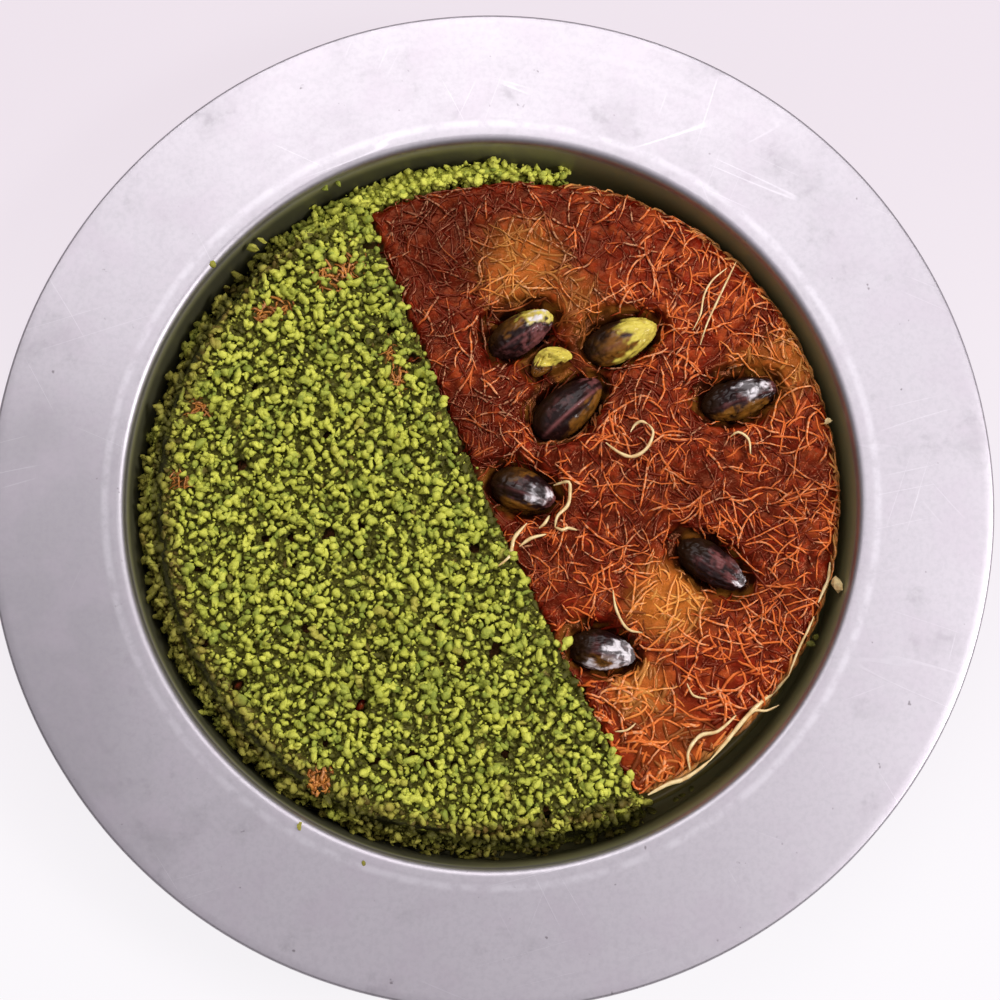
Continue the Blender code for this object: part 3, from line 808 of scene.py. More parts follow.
def thread_tree():
    """Lays short bent threads on a surface, each one following it."""
    board, given = geometry_board(
        "Laid threads",
        Float="Density Radius Shortest Longest Bend Stray Lowest Highest Arch Swirl",
        Int="Steps Sides Seed",
        Vector="Sideways",
        Material="Material",
    )
    surface = given["Geometry"]
    seed = given["Seed"]
    here = position(board)
    method = {"distribute_method": "RANDOM"}
    values = {"Mesh": surface, "Density": given["Density"] * named(board, "laid"), "Seed": seed}
    roots = board.add("GeometryNodeDistributePointsOnFaces", method, values)
    near = board.apart(here)[1].ramp(-20 * MM, -62 * MM)
    swirl = board.noise(board.scaled(here, given["Swirl"]), 1.0, 1.0, 0.4)
    spread = given["Longest"] - given["Shortest"]
    numbers = {
        "heading": swirl * 14.0 + chance(board, -1.0, 1.0, seed + 1) * given["Stray"],
        "span": given["Shortest"] + spread * chance(board, 0.0, 1.0, seed + 2) ** 1.8,
        "bend": chance(board, -1.0, 1.0, seed + 3) * given["Bend"] + 0.003,
        "lift": chance(board, given["Lowest"], given["Highest"], seed + 4),
        "arch": chance(board, 0.0, 1.0, seed + 5) ** 2.0 * given["Arch"],
        "tip": chance(board, -1.0, 1.0, seed + 6) * given["Arch"] * 0.5,
        "tint": chance(board, 0.0, 1.0, seed + 7),
        "girth": chance(board, 0.65, 1.2, seed + 8) * (1 + 0.5 * near),
    }
    points = stored(board, roots, "root", here, "FLOAT_VECTOR")
    points = stored(board, points, "upright", roots.also("Normal"), "FLOAT_VECTOR")
    for name, value in numbers.items():
        points = stored(board, points, name, value)
    line = board.add("GeometryNodeCurvePrimitiveLine", {}, {"End": (1.0, 0.0, 0.0)})
    line = board.add("GeometryNodeResampleCurve", {}, {"Curve": line, "Count": given["Steps"]})
    copies = board.add("GeometryNodeInstanceOnPoints", {}, {"Points": points, "Instance": line})
    curves = realised(board, copies)

    # The bent thread, laid out flat at its root.
    along = board.add("GeometryNodeSplineParameter") - 0.5
    bend = named(board, "bend")
    span = named(board, "span")
    ahead = (along * bend).math("SINE") / bend * span
    aside = (1 - (along * bend).math("COSINE")) / bend * span
    turn = named(board, "heading")
    cosine, sine = turn.math("COSINE"), turn.math("SINE")
    upright = named(board, "upright", "FLOAT_VECTOR")
    first = board.vector("NORMALIZE", board.vector("CROSS_PRODUCT", given["Sideways"], upright))
    second = board.vector("CROSS_PRODUCT", upright, first)
    first = board.scaled(first, ahead * cosine - aside * sine)
    second = board.scaled(second, ahead * sine + aside * cosine)
    flat = board.vector("ADD", first, second)
    place = board.vector("ADD", named(board, "root", "FLOAT_VECTOR"), flat)
    values = {"Vector": place, "W": named(board, "tint") * 40.0, "Scale": 140.0, "Detail": 0.0}
    wander = board.add("ShaderNodeTexNoise", {"noise_dimensions": "4D"}, values, "Color")
    shift = board.scaled(board.vector("SUBTRACT", wander, (0.5, 0.5, 0.5)), 2.4 * MM)
    place = board.vector("ADD", place, shift)

    # Then pressed onto the surface.
    nearest = closest(board, surface, place)
    above = normal_at(board, surface, place)
    bow = 1 - (along * 2.0) ** 2.0
    height = named(board, "lift") + named(board, "arch") * bow + named(board, "tip") * along
    place = board.vector("ADD", nearest, board.scaled(above, height))
    level = sampled(board, surface, place, named(board, "cell"))
    curves = stored(board, curves, "cell", level)
    curves = stored(board, curves, "rise", height * 1000.0)
    curves = moved(board, curves, place)
    taper = 1 - (along * 2.0).math("ABSOLUTE") ** 5.0 * 0.55
    radius = given["Radius"] * named(board, "girth") * taper
    threads = tubes(board, curves, given["Sides"], radius)
    return close_geometry(board, threads, given["Material"])


def thread_material(settings, name, lightest):
    """Glazed threads: deep red-brown where low, orange where they rise, painted highlights and
    shade.
    """
    material, board, place = material_board(name)
    tint = painted(board, "tint")
    gold = painted(board, "gold")
    side = painted(board, "side")
    rise = painted(board, "rise").ramp(-0.15, 0.75)
    broad = board.noise(place, 7 * MM, 2.0, 0.5)
    fine = board.noise(place, 1.1 * MM, 2.0, 0.6)
    x, y, _ = board.apart(place)
    near = (y - x * 0.8).ramp(75 * MM, -80 * MM) * (lightest * 3.0 - 2.15)
    near = near + lighter_part(board, place) * (lightest * 1.6 - 1.1)
    high = painted(board, "cell") * 0.8 + near
    light = (tint * 0.6 + rise * 0.5 + high + broad * 0.7 + fine * 0.3 - 1.62).ramp(0.0, 0.8)
    base = board.mix(light * lightest, settings.baked, settings.light)
    base = board.mix((1 - light).ramp(0.55, 1.0) * 0.7, base, settings.deep)
    base = board.mix(gold * (0.3 + 0.6 * tint), base, settings.honey)
    base = board.mix(side * (0.45 + 0.55 * tint), base, settings.crisp)
    # Painted highlight: pale peach flecks on the highest parts of the threads.
    highlight_fleck = board.noise(place, 0.9 * MM, 1.0).ramp(0.48, 0.58)
    crest_highlight = painted(board, "rise").ramp(0.25, 0.55) * highlight_fleck
    base = board.mix(crest_highlight * 0.55 * lightest, base, settings.crest_highlight)
    base = board.mix(painted(board, "tone") * 0.65, base, settings.deep)
    # Painted shade: threads near the kernels are painted deep.
    base = board.mix(painted(board, "hollow") * 0.7, base, settings.deep)
    shine = {"Specular IOR Level": 0.5, "Specular Tint": opaque((1.0, 0.52, 0.28))}
    close_material(board, base, 0.11 + 0.08 * fine, shine, (fine, 0.25 * MM, 0.5))
    return material


def lay_mask(mesh, place):
    """Paints where threads may be laid: on the bare top, round its side or where it is thin."""
    if "laid" in mesh.attributes:
        mesh.attributes.remove(mesh.attributes["laid"])
    keys = ("thin",) if place == "thin" else ("bare", "side", "hollow")
    columns = [[item.value for item in mesh.attributes[key].data] for key in keys]
    if place == "thin":
        shares = [smoothstep(0.25, 0.6, amount) for amount in columns[0]]
    elif place == "side":
        shares = [bare * side for bare, side, _ in zip(*columns)]
    else:
        shares = [bare * (1 - side) * (1 - 0.8 * hollow) for bare, side, hollow in zip(*columns)]
    paint(mesh, "laid", shares)


# One layer of threads. Density is in threads a square metre, lengths are in millimetres and the
# girth is a share of the thread radius. Stray is how far threads turn from their neighbours' way.
Layer = namedtuple(
    "Layer", "place density steps sides girth spans bend stray lift arch swirl seed"
)
THREAD_LAYERS = {
    "threads_under": Layer(
        "top", 125000, 7, 6, 1.15, (3, 11), 1.2, 2.4, (-0.25, 0.05), 0.3, 75, 21
    ),
    "threads_upper": Layer(
        "top", 135000, 9, 5, 0.75, (4, 14), 1.3, 2.3, (-0.1, 0.35), 0.8, 60, 57
    ),
    "threads_side": Layer(
        "side", 240000, 6, 4, 1.0, (4, 12), 1.0, 0.5, (-0.3, 0.3), 0.5, 0, 83
    ),
}
THIN_LAYER = Layer("thin", 1400000, 6, 5, 0.8, (2, 6), 2.4, 1.8, (-0.3, 0.4), 0.8, 75, 91)


def laid_threads(name, mesh, layer, settings, look):
    lay_mask(mesh, layer.place)
    values = {
        "Density": float(layer.density),
        "Steps": layer.steps,
        "Sides": layer.sides,
        "Radius": settings.radius * layer.girth,
        "Shortest": layer.spans[0] * MM,
        "Longest": layer.spans[1] * MM,
        "Bend": layer.bend,
        "Stray": layer.stray,
        "Lowest": layer.lift[0] * MM,
        "Highest": layer.lift[1] * MM,
        "Arch": layer.arch * MM,
        "Swirl": float(layer.swirl),
        "Sideways": (0.0, 0.0, 1.0) if layer.place == "side" else (0.0, 1.0, 0.0),
        "Seed": layer.seed,
        "Material": look,
    }
    return grown(name, mesh.copy(), thread_tree(), values)


class KUNAFA_OT_pastry(bpy.types.Operator):
    """Make the pastry and lay its threads"""

    bl_idname = "kunafa.pastry"
    bl_label = "Pastry and threads"

    def execute(self, context):
        settings = context.scene.kunafa_pastry
        core = pastry_core(settings)
        dressed(core, "baked_pastry", "pastry")
        deep = thread_material(settings, "deep_threads", 0.75)
        glazed = thread_material(settings, "glazed_threads", 1.0)
        for name, layer in THREAD_LAYERS.items():
            look = deep if name == "threads_under" else glazed
            dressed(laid_threads(name, core.data, layer, settings, look), "baked_pastry")
        return {"FINISHED"}


# Chopped pistachio


# Where the pastry shows through the chopped pistachio: centre and reach in millimetres.
THIN_PLACES = (
    ((-34.5, 57.5), 3.8),
    ((-38.5, 54.5), 3.6),
    ((-50.0, 47.5), 3.2),
    ((-54.0, 45.0), 3.0),
    ((-24.0, 35.0), 2.8),
    ((-22.0, 30.0), 3.2),
    ((-70.5, 22.0), 3.0),
    ((-74.0, 4.0), 2.6),
    ((-40.5, -65.5), 3.2),
)
CAKE_MIDDLE = Vector((1.9, 0.9)) * MM

# The gap between the sheet over the cake and the ring round it, painted near black as a painted
# shadow: where it starts and ends outwards from the cake's middle, and where it closes towards
# the far side.
GAP_START = (79.0 * MM, 80.0 * MM)
GAP_END = (81.4 * MM, 82.4 * MM)
GAP_FAR_END = (60 * MM, 68 * MM)

# The way across the straight border between the chopped pistachio and the bare half.
BORDER_WAY = Vector((0.911, 0.413))

# What the threads in the thin places read from the surface that they lie on.
THIN_THREAD_NUMBERS = {"gold": 0.9, "tone": 0.4, "side": 0.0, "hollow": 0.0, "cell": 0.5}

# The most pieces of one layer in a square metre.
CROWDING = 1.5e6


def thin(point):
    """How thinly the chopped pistachio lies, from 0 to 1."""
    most = 0.0
    ragged = 0.6 * noise.noise(point / (1.6 * MM)) + 0.4 * noise.noise(point / (4.1 * MM))
    for centre, reach in THIN_PLACES:
        distance = (point.xy - Vector(centre) * MM).length / (reach * MM) + ragged
        most = max(most, 1 - smoothstep(0.6, 1.0, distance))
    return most


def lump(shape, draw, centre, size):
    """Adds an uneven lump with a few flat cuts."""
    start = len(shape.verts)
    cube = bmesh.ops.create_cube(shape, size=2.0)["verts"]
    edges = list({edge for vert in cube for edge in vert.link_edges})
    bmesh.ops.subdivide_edges(shape, edges=edges, cuts=1, use_grid_fill=True)
    shape.verts.ensure_lookup_table()
    verts = shape.verts[start:]
    stretch = Vector((draw.uniform(0.8, 1.6), draw.uniform(0.65, 1.0), draw.uniform(0.7, 1.0)))
    turn = Matrix.Rotation(draw.uniform(0, math.tau), 3, "Z")
    shift = Vector([draw.uniform(-50, 50) for _ in range(3)])
    cuts = []
    for _ in range(draw.randint(2, 4)):
        way = Vector([draw.gauss(0, 1) for _ in range(3)]).normalized()
        cuts.append((way, draw.uniform(0.3, 0.7)))
    for vert in verts:
        point = vert.co.normalized()
        swell = 1 + 0.6 * noise.noise(point * 1.2 + shift)
        point *= swell + 0.45 * noise.noise(point * 3.1 + shift)
        for way, depth in cuts:
            point -= way * 0.85 * max(point.dot(way) - depth, 0)
        vert.co = centre + turn @ (point * stretch) * size


def angular_bit(shape, draw):
    verts = bmesh.ops.create_icosphere(shape, subdivisions=1, radius=1.0)["verts"]
    stretch = Vector((draw.uniform(0.9, 1.6), draw.uniform(0.6, 1.0), draw.uniform(0.5, 0.9)))
    for vert in verts:
        vert.co = vert.co * stretch * draw.uniform(0.75, 1.15)


def chip_mesh(name, draw, lumps):
    """A chopped piece: lumps in a crooked row, or a small angular bit where there are none."""
    shape = bmesh.new()
    centre = Vector()
    for _ in range(lumps):
        lump(shape, draw, centre, draw.uniform(0.7, 1.0))
        turn = draw.uniform(0, math.tau)
        centre += Vector((math.cos(turn), math.sin(turn), draw.uniform(-0.4, 0.4))) * 1.15
    if not lumps:
        angular_bit(shape, draw)
    return mesh_from(name, shape)


def chip_collection(name, seed, lumps):
    """A collection of chips, one for each number of lumps in the list."""
    draw = random.Random(seed)
    chips = bpy.data.collections.new(name)
    bpy.context.scene.collection.children.link(chips)
    for index, number in enumerate(lumps):
        mesh = chip_mesh(f"{name}_{index}", draw, number)
        chips.objects.link(bpy.data.objects.new(mesh.name, mesh))
    return chips


def remove_collection(chips):
    for obj in list(chips.objects):
        bpy.data.objects.remove(obj)
    bpy.data.collections.remove(chips)


def scatter_tree():
    """Strews the objects of a collection over a surface, spaced apart and inside the well."""
    board, given = geometry_board(
        "Scattered chips",
        Collection="Chips",
        Float="Spacing Density Smallest Largest Low High",
        Int="Seed",
        Material="Material",
    )
    seed = given["Seed"]
    values = {"Geometry": given["Geometry"], "Selection": named(board, "open") < 0.3}
    surface = board.add("GeometryNodeDeleteGeometry", {"domain": "FACE"}, values)
    values = {
        "Mesh": surface,
        "Distance Min": given["Spacing"],
        "Density Max": given["Density"],
        "Density Factor": named(board, "open"),
        "Seed": seed,
    }
    method = {"distribute_method": "POISSON"}
    points = board.add("GeometryNodeDistributePointsOnFaces", method, values)
    lift = given["Low"] + (given["High"] - given["Low"]) * chance(board, 0.0, 1.0, seed + 1)
    values = {"Geometry": points, "Offset": board.scaled(points.also("Normal"), lift)}
    raised = board.add("GeometryNodeSetPosition", {}, values)
    raised = stored(board, raised, "tint", chance(board, 0.0, 1.0, seed + 2))
    values = {"Collection": given["Chips"], "Separate Children": True, "Reset Children": True}
    space = {"transform_space": "ORIGINAL"}
    kinds = board.add("GeometryNodeCollectionInfo", space, values)
    values = {0: (0.0, 0.0, 0.0), 1: (math.tau, math.tau, math.tau), "Seed": seed + 3}
    turn = board.add("FunctionNodeRandomValue", {"data_type": "FLOAT_VECTOR"}, values)
    spread = chance(board, 0.0, 1.0, seed + 4) ** 1.4
    values = {
        "Points": raised,
        "Instance": kinds,
        "Pick Instance": True,
        "Rotation": board.add("FunctionNodeEulerToRotation", {}, {0: turn}),
        "Scale": given["Smallest"] + (given["Largest"] - given["Smallest"]) * spread,
    }
    real = realised(board, board.add("GeometryNodeInstanceOnPoints", {}, values))
    here = position(board)
    away = board.vector("SUBTRACT", here, closest(board, surface, here))
    normal = normal_at(board, surface, here)
    height = board.vector("DOT_PRODUCT", away, normal, output="Value")
    real = stored(board, real, "height", height * 1000.0)

    # What would pass through the well's wall or floor is pressed flat against it.
    x, y, z = board.apart(here)
    above = z - (SHEET + FLOOR_FILLET)
    wall = FOOT_RADIUS - 0.1 * MM + above * WELL_LEAN / WELL_SLOPE_HEIGHT
    wall = wall - above.math("MINIMUM", 0.0) ** 2.0 / FLOOR_FILLET
    inwards = (wall / (x * x + y * y) ** 0.5).math("MINIMUM", 1.0)
    place = board.xyz(x * inwards, y * inwards, z.math("MAXIMUM", SHEET + 0.1 * MM))
    return close_geometry(board, moved(board, real, place), given["Material"])


def open_gap(point):
    """How far the gap is open here, from 0 to 1."""
    reach = (point.xy - CAKE_MIDDLE).length
    share = smoothstep(*GAP_START, reach) * (1 - smoothstep(*GAP_END, reach))
    share *= smoothstep(-0.30, -0.05, noise.noise(point / (6 * MM)))
    return share * (1 - smoothstep(*GAP_FAR_END, point.y))


def pistachio_core(settings):
    """The heap under the scattered pieces, shrunk a little, with numbers that say what is open."""
    core = remeshed(node_copy("pistachio_core", "pistachio_crumbs"), 0.9 * MM, 2)
    mesh = core.data
    others = node_tree_of("pastry", "dish")
    own = BVHTree.FromPolygons(
        [vert.co for vert in mesh.vertices], [face.vertices for face in mesh.polygons]
    )
    opens, thins, gaps, depths = [], [], [], []
    for vert in mesh.vertices:
        depths.append(own.ray_cast(vert.co - vert.normal * 0.05 * MM, -vert.normal)[3] or 9 * MM)
        blocked = others.ray_cast(vert.co, vert.normal, 0.5 * MM)[0] is not None
        free = not (blocked or vert.co.z < 2.4 * MM or vert.normal.z < -0.3)
        amount = thin(vert.co) if vert.normal.z > 0.4 else 0.0
        gaps.append(open_gap(vert.co))
        opens.append((1 - amount) * (1 - gaps[-1]) if free else 0.0)
        thins.append(amount if free else 0.0)
    paint(mesh, "open", opens)
    paint(mesh, "thin", thins)
    paint(mesh, "gap", gaps)
    for name, number in THIN_THREAD_NUMBERS.items():
        paint(mesh, name, [number] * len(mesh.vertices))
    sinks = []
    for vert, free, amount, gap, depth in zip(mesh.vertices, opens, thins, gaps, depths):
        sink = 0.1
        if max(free, gap) + amount > 0:
            ring = smoothstep(79 * MM, 81 * MM, (vert.co.xy - CAKE_MIDDLE).length)
            bump = noise.fractal(vert.co / (1.7 * MM), 1.0, 2.0, 2)
            sink = 1.35 - 0.9 * ring - 0.5 * amount + 0.35 * bump
        sinks.append(-min(sink * MM, max(depth - 0.4 * MM, 0)))
    pushed(mesh, sinks)
    mesh.materials.append(heap_material(settings))
    return core


def heap_material(settings):
    """What shows between the pieces: dark green, brown where the heap is thin, painted shadow in
    the gap, painted light by the border.
    """
    material, board, place = material_board("nut_heap")
    grain = board.noise(place, 0.8 * MM, 3.0, 0.6)
    x, y, _ = board.apart(place)
    # Painted light: the core is painted lighter along the border with the bare half.
    border = (x * BORDER_WAY.x + y * BORDER_WAY.y).ramp(0.0, 3.0 * MM)
    light = (grain.ramp(0.40, 0.75) * 0.6 + border * 0.5).ramp(0.0, 1.0)
    base = board.mix(light, settings.deep, settings.middle)
    base = board.mix(painted(board, "thin"), base, (0.085, 0.042, 0.008))
    # Painted shadow: the gap is painted near black.
    base = board.mix(painted(board, "gap") * 0.9, base, (0.010, 0.009, 0.003))
    shine = {"Specular IOR Level": 0.1}
    close_material(board, base, 0.6 + 0.2 * grain, shine, (grain, 0.6 * MM, 0.8))
    return material


def nut_material(settings, name, freshness):
    """Chopped nut: painted light and shade make it bright yellow-green above, deep green low in the
    heap and in the ring.
    """
    material, board, place = material_board(name)
    tint = painted(board, "tint")
    mottle = board.noise(place, 0.9 * MM, 2.0, 0.6)
    patches = board.noise(place, 12 * MM, 2.0, 0.5)
    x, y, z = board.apart(place)
    reach = ((x - CAKE_MIDDLE.x) ** 2.0 + (y - CAKE_MIDDLE.y) ** 2.0) ** 0.5
    # Painted light: at the far side the ring's pieces are painted brighter and take less painted
    # shade.
    far = y.ramp(56 * MM, 70 * MM)
    # Painted shade: pieces low down, beyond the cake's edge and in the gap are painted deep green.
    ring = z.ramp(14 * MM, 5 * MM)
    gap = reach.ramp(79.0 * MM, 80.2 * MM) * reach.ramp(83 * MM, 81.6 * MM) * (1 - far)
    outer = reach.ramp(79.6 * MM, 80.8 * MM) * (1 - 0.6 * far)
    rim = reach.ramp(75 * MM, 79 * MM) * (1 - far)
    # Painted light: pieces along the border with the bare half are painted brighter.
    border = (x * BORDER_WAY.x + y * BORDER_WAY.y).ramp(-0.5 * MM, 3.0 * MM)
    border = border * ring.ramp(1.0, 0.5)
    # High is painted light and shade by height in the heap: low pieces are painted deep, high ones
    # bright.
    high = (painted(board, "height").ramp(0.1, 2.2) + far * 0.3 + border * 0.7).ramp(0.0, 1.0)
    fresh_and_lit = tint * 0.5 + mottle * 0.4 + patches * 0.45 + border * 0.3 + freshness - 0.45
    fresh_and_lit = fresh_and_lit.ramp(0.0, 0.8)
    base = board.mix(high.ramp(0.0, 0.6), settings.deep, settings.middle)
    leafy = board.noise(place, 5 * MM, 2.0, 0.6).ramp(0.46, 0.62) + tint.ramp(0.3, 0.1) * 0.4
    base = board.mix(leafy.ramp(0.0, 1.0) * high.ramp(0.1, 0.4) * 0.7, base, settings.leaf)
    base = board.mix(fresh_and_lit * high.ramp(0.25, 0.9), base, settings.bright)
    base = board.mix(tint.ramp(0.965, 0.985) * 0.5, base, settings.skin)
    base = board.mix(rim * patches.ramp(0.25, 0.55) * (0.3 + 0.5 * mottle), base, settings.skin)
    # Painted shade low down, beyond the cake's edge and in the gap.
    low = (ring * 0.2 + outer * 0.33 + gap * 0.6).ramp(0.0, 1.0)
    base = board.mix(low * 0.95, base, settings.deep)
    shine = {"Specular IOR Level": 0.2}
    close_material(board, base, 0.5 + 0.2 * mottle, shine, (mottle, 0.4 * MM, 0.8))
    return material


# One layer of pieces: the lumps of each kind, how far apart they lie, their smallest and largest
# size as shares of the piece size, their height over the core in millimetres, and the layer's
# painted light: higher layers are painted brighter, the lowest darker.
Strewn = namedtuple("Strewn", "lumps spacing smallest largest low high seed freshness")
NUT_LAYERS = {
    "nut_under": Strewn((1,) * 12, 1.75, 0.95, 1.45, -0.3, 0.3, 13, -0.25),
    "nut_low": Strewn((1,) * 20, 1.90, 1.05, 1.65, 0.3, 0.9, 31, 0.0),
    "nut_high": Strewn((3, 4, 2, 5, 3) * 4, 3.2, 1.00, 1.50, 0.9, 1.8, 47, 0.2),
    "nut_fine": Strewn((0,) * 10, 1.5, 0.3, 0.6, 0.4, 1.8, 71, 0.1),
}


class KUNAFA_OT_pistachio(bpy.types.Operator):
    """Strew the chopped pistachio"""

    bl_idname = "kunafa.pistachio"
    bl_label = "Chopped pistachio"

    def execute(self, context):
        settings = context.scene.kunafa_pistachio
        pastry = context.scene.kunafa_pastry
        core = pistachio_core(settings)
        dressed(core, "chopped_pistachio", "pistachio_crumbs")
        tree = scatter_tree()
        for name, layer in NUT_LAYERS.items():
            chips = chip_collection(name + "_kinds", layer.seed, layer.lumps)
            values = {
                "Chips": chips,
                "Spacing": layer.spacing * MM,
                "Density": CROWDING,
                "Smallest": layer.smallest * settings.piece,
                "Largest": layer.largest * settings.piece,
                "Low": layer.low * MM,
                "High": layer.high * MM,
                "Seed": layer.seed,
                "Material": nut_material(settings, name + "_nut", layer.freshness),
            }
            dressed(grown(name, core.data.copy(), tree, values), "chopped_pistachio")
            remove_collection(chips)
        look = thread_material(pastry, "thin_threads", 0.8)
        bared = laid_threads("threads_thin", core.data, THIN_LAYER, pastry, look)
        dressed(bared, "baked_pastry")
        return {"FINISHED"}


# Kernels


# A patch on a kernel: its kind, its middle as a direction on the kernel (along, across, up) and
# how far round that direction it stops, from 1 for a point to -1 for the whole kernel.
Patch = namedtuple("Patch", "kind way stop")

# How each kernel looks. Turn and tilt in degrees, length and width in millimetres, ridge and
# creases as shares of the usual height.
Look = namedtuple("Look", "turn tilt length width ridge creases patches")
# The pale patches are painted highlights where the kernels catch the light; the south kernel's
# lower pale band is its cream skin.
KERNEL_LOOKS = {
    "kernel_north_west": Look(
        30, 13, 17.6, 9.2, 0.5, 1.1,
        (
            Patch("flesh", (0.9, 0.45, 0.35), 0.68),
            Patch("amber", (-0.1, 0.85, 0.4), 0.62),
            Patch("blush", (0.5, -0.75, 0.4), 0.66),
            Patch("pale", (0.80, 0.15, 0.65), 0.90),
        ),
    ),
    "kernel_north": Look(
        22, 12, 18.6, 9.8, 0.3, 0.9,
        (
            Patch("flesh", (1.0, 0.15, 0.2), 0.40),
            Patch("flesh", (0.35, -0.95, 0.2), 0.88),
            Patch("amber", (0.1, -0.9, 0.3), 0.35),
            Patch("amber", (-0.45, 0.1, 0.85), 0.90),
        ),
    ),
    "kernel_split": Look(
        40, 5, 20.0, 11.0, 1.1, 0.5,
        (
            Patch("amber", (0.3, -0.9, 0.1), 0.62),
            Patch("blush", (0.95, 0.2, 0.2), 0.93),
        ),
    ),
    "kernel_east": Look(
        17, 9, 18.6, 9.4, 0.3, 1.2,
        (
            Patch("amber", (-0.1, -0.9, 0.2), 0.62),
            Patch("pale", (0.50, 0.20, 0.80), 0.86),
            Patch("blush", (0.95, 0.0, 0.2), 0.88),
        ),
    ),
    "kernel_west": Look(
        -20, 9, 16.2, 9.8, 0.5, 0.8,
        (
            Patch("amber", (-0.6, 0.75, 0.1), 0.60),
            Patch("amber", (-0.1, -0.9, 0.1), 0.70),
            Patch("pale", (0.62, 0.0, 0.75), 0.89),
            Patch("blush", (0.95, 0.1, 0.2), 0.82),
        ),
    ),
    "kernel_south_east": Look(
        -35, 9, 18.4, 9.0, 0.3, 1.0,
        (
            Patch("blush", (0.5, 0.3, 0.6), 0.78),
            Patch("pale", (0.92, 0.30, 0.3), 0.93),
        ),
    ),
    "kernel_south": Look(
        -12, 8, 15.6, 9.2, 0.4, 1.2,
        (
            Patch("amber", (-0.1, -0.9, 0.3), 0.60),
            Patch("pale", (0.85, 0.0, 0.55), 0.62),
            Patch("pale", (-0.2, -0.95, 0.2), 0.86),
        ),
    ),
}
PATCH_KINDS = ("flesh", "amber", "blush", "pale")


def paint_patches(mesh, ways, patches, shift):
    """Paints how strongly each vertex shows each kind of patch, with ragged borders."""
    numbers = {kind: [0.0] * len(ways) for kind in PATCH_KINDS}
    for index, way in enumerate(ways):
        ragged = 0.26 * noise.noise(way * 2.6 + shift) + 0.14 * noise.noise(way * 6.5 + shift)
        for patch in patches:
            closeness = way.dot(Vector(patch.way).normalized()) + ragged
            share = smoothstep(patch.stop - 0.08, patch.stop + 0.10, closeness)
            numbers[patch.kind][index] = max(numbers[patch.kind][index], share)
    for kind, values in numbers.items():
        paint(mesh, kind, values)


def crease(point):
    """Sharp folds in skin: 1 at the bottom of a fold, 0 away from it."""
    return max(1 - 5.0 * abs(noise.noise(point)), 0.0) ** 2


def ridge_at(side, width):
    """1 along a kernel's ridge, 0 away from it."""
    return math.exp(-(((side + 0.25) / width) ** 2))


# The side of each kernel that is painted dark, a painted shadow where it sinks into its hollow, and
# how far the kernels sink.
SHADED_WAY = Vector((-0.8, 0.5, -0.3))
KERNEL_SINK = 1.1 * MM

# A kernel's height as a share of its width.
KERNEL_FLATNESS = 0.84


def kernel_shape(name, look, centre, seed):
    """A kernel as an ovoid with a blunt end, a ridge, swellings and creased skin."""
    shape = bmesh.new()
    bmesh.ops.create_uvsphere(shape, u_segments=96, v_segments=72, radius=1.0)
    half = Vector((look.length, look.width, KERNEL_FLATNESS * look.width)) / 2
    shift = Vector((seed * 7.3, seed * 1.9, seed * 3.1))
    ways = []
    for vert in shape.verts:
        side, up, along = vert.co
        way = Vector((along, side, up)).normalized()
        ways.append(way)
        girth = 1 - 0.16 * along
        swell = 0.36 * noise.noise(Vector((along * 1.3, side * 3.0, up * 3.0)) + shift)
        swell += 0.16 * noise.noise(Vector((along * 3.4, side * 8.0, up * 8.0)) + shift)
        swell -= 0.30 * crease(Vector((along * 2.6, side * 3.4, up * 3.4)) + shift)
        swell -= 0.18 * crease(Vector((along * 6.0, side * 7.0, up * 7.0)) - shift)
        ridge = ridge_at(side, 0.13) * max(up, 0) * (1 - along**2)
        point = Vector((half.x * along, half.y * side * girth, half.z * up * girth))
        raised = Vector((0, 0, 0.6 * look.ridge * ridge))
        vert.co = (point + way * swell * look.creases + raised) * MM
    place = Matrix.Translation(centre - UP * KERNEL_SINK)
    place @= Matrix.Rotation(math.radians(look.turn), 4, "Z")
    place @= Matrix.Rotation(math.radians(-look.tilt), 4, "Y")
    mesh = mesh_from(name, shape)
    paint_patches(mesh, ways, look.patches, shift)
    ridges = [look.ridge * max(way.z, 0) * ridge_at(way.y, 0.07) for way in ways]
    paint(mesh, "ridge", ridges)
    mesh.transform(place)
    # Painted shadow: how strongly each vertex takes the dark on the kernel's far left side.
    drowned = []
    for vert in mesh.vertices:
        depth = (vert.co - place.translation).dot(SHADED_WAY) / (half.x * MM)
        drowned.append(smoothstep(-0.05, 0.50, depth + 0.3 * noise.noise(vert.co / (2.5 * MM))))
    paint(mesh, "drowned", drowned)
    mesh.shade_smooth()
    return mesh


FOLDED_PATCHES = (
    Patch("flesh", (0.6, 0.4, 0.7), 0.30),
    Patch("amber", (-0.6, -0.4, 0.5), -0.1),
)


def folded_piece(name, centre):
    """A torn half kernel, folded on itself."""
    shape = bmesh.new()
    bmesh.ops.create_uvsphere(shape, u_segments=96, v_segments=64, radius=1.0)
    ways = []
    for vert in shape.verts:
        side, up, along = vert.co
        ways.append(Vector((along, side, up)).normalized())
        fold = math.sin(along * 5.2 + 2.4 * side) * 0.7 * max(up + 0.3, 0)
        curl = 1.5 * (1 - along**2)
        rough = noise.noise(vert.co * 2.2) * 0.8 - 0.9 * crease(Vector((along * 2, side * 3, 0)))
        vert.co = Vector((5.4 * along, 2.8 * side + curl - 0.8, 2.0 * up + fold + rough * up)) * MM
    mesh = mesh_from(name, shape)
    paint_patches(mesh, ways, FOLDED_PATCHES, Vector())
    for unused in ("ridge", "drowned"):
        paint(mesh, unused, [0.0] * len(ways))
    mesh.transform(Matrix.Translation(centre) @ Matrix.Rotation(math.radians(28), 4, "Z"))
    mesh.shade_smooth()
    return mesh


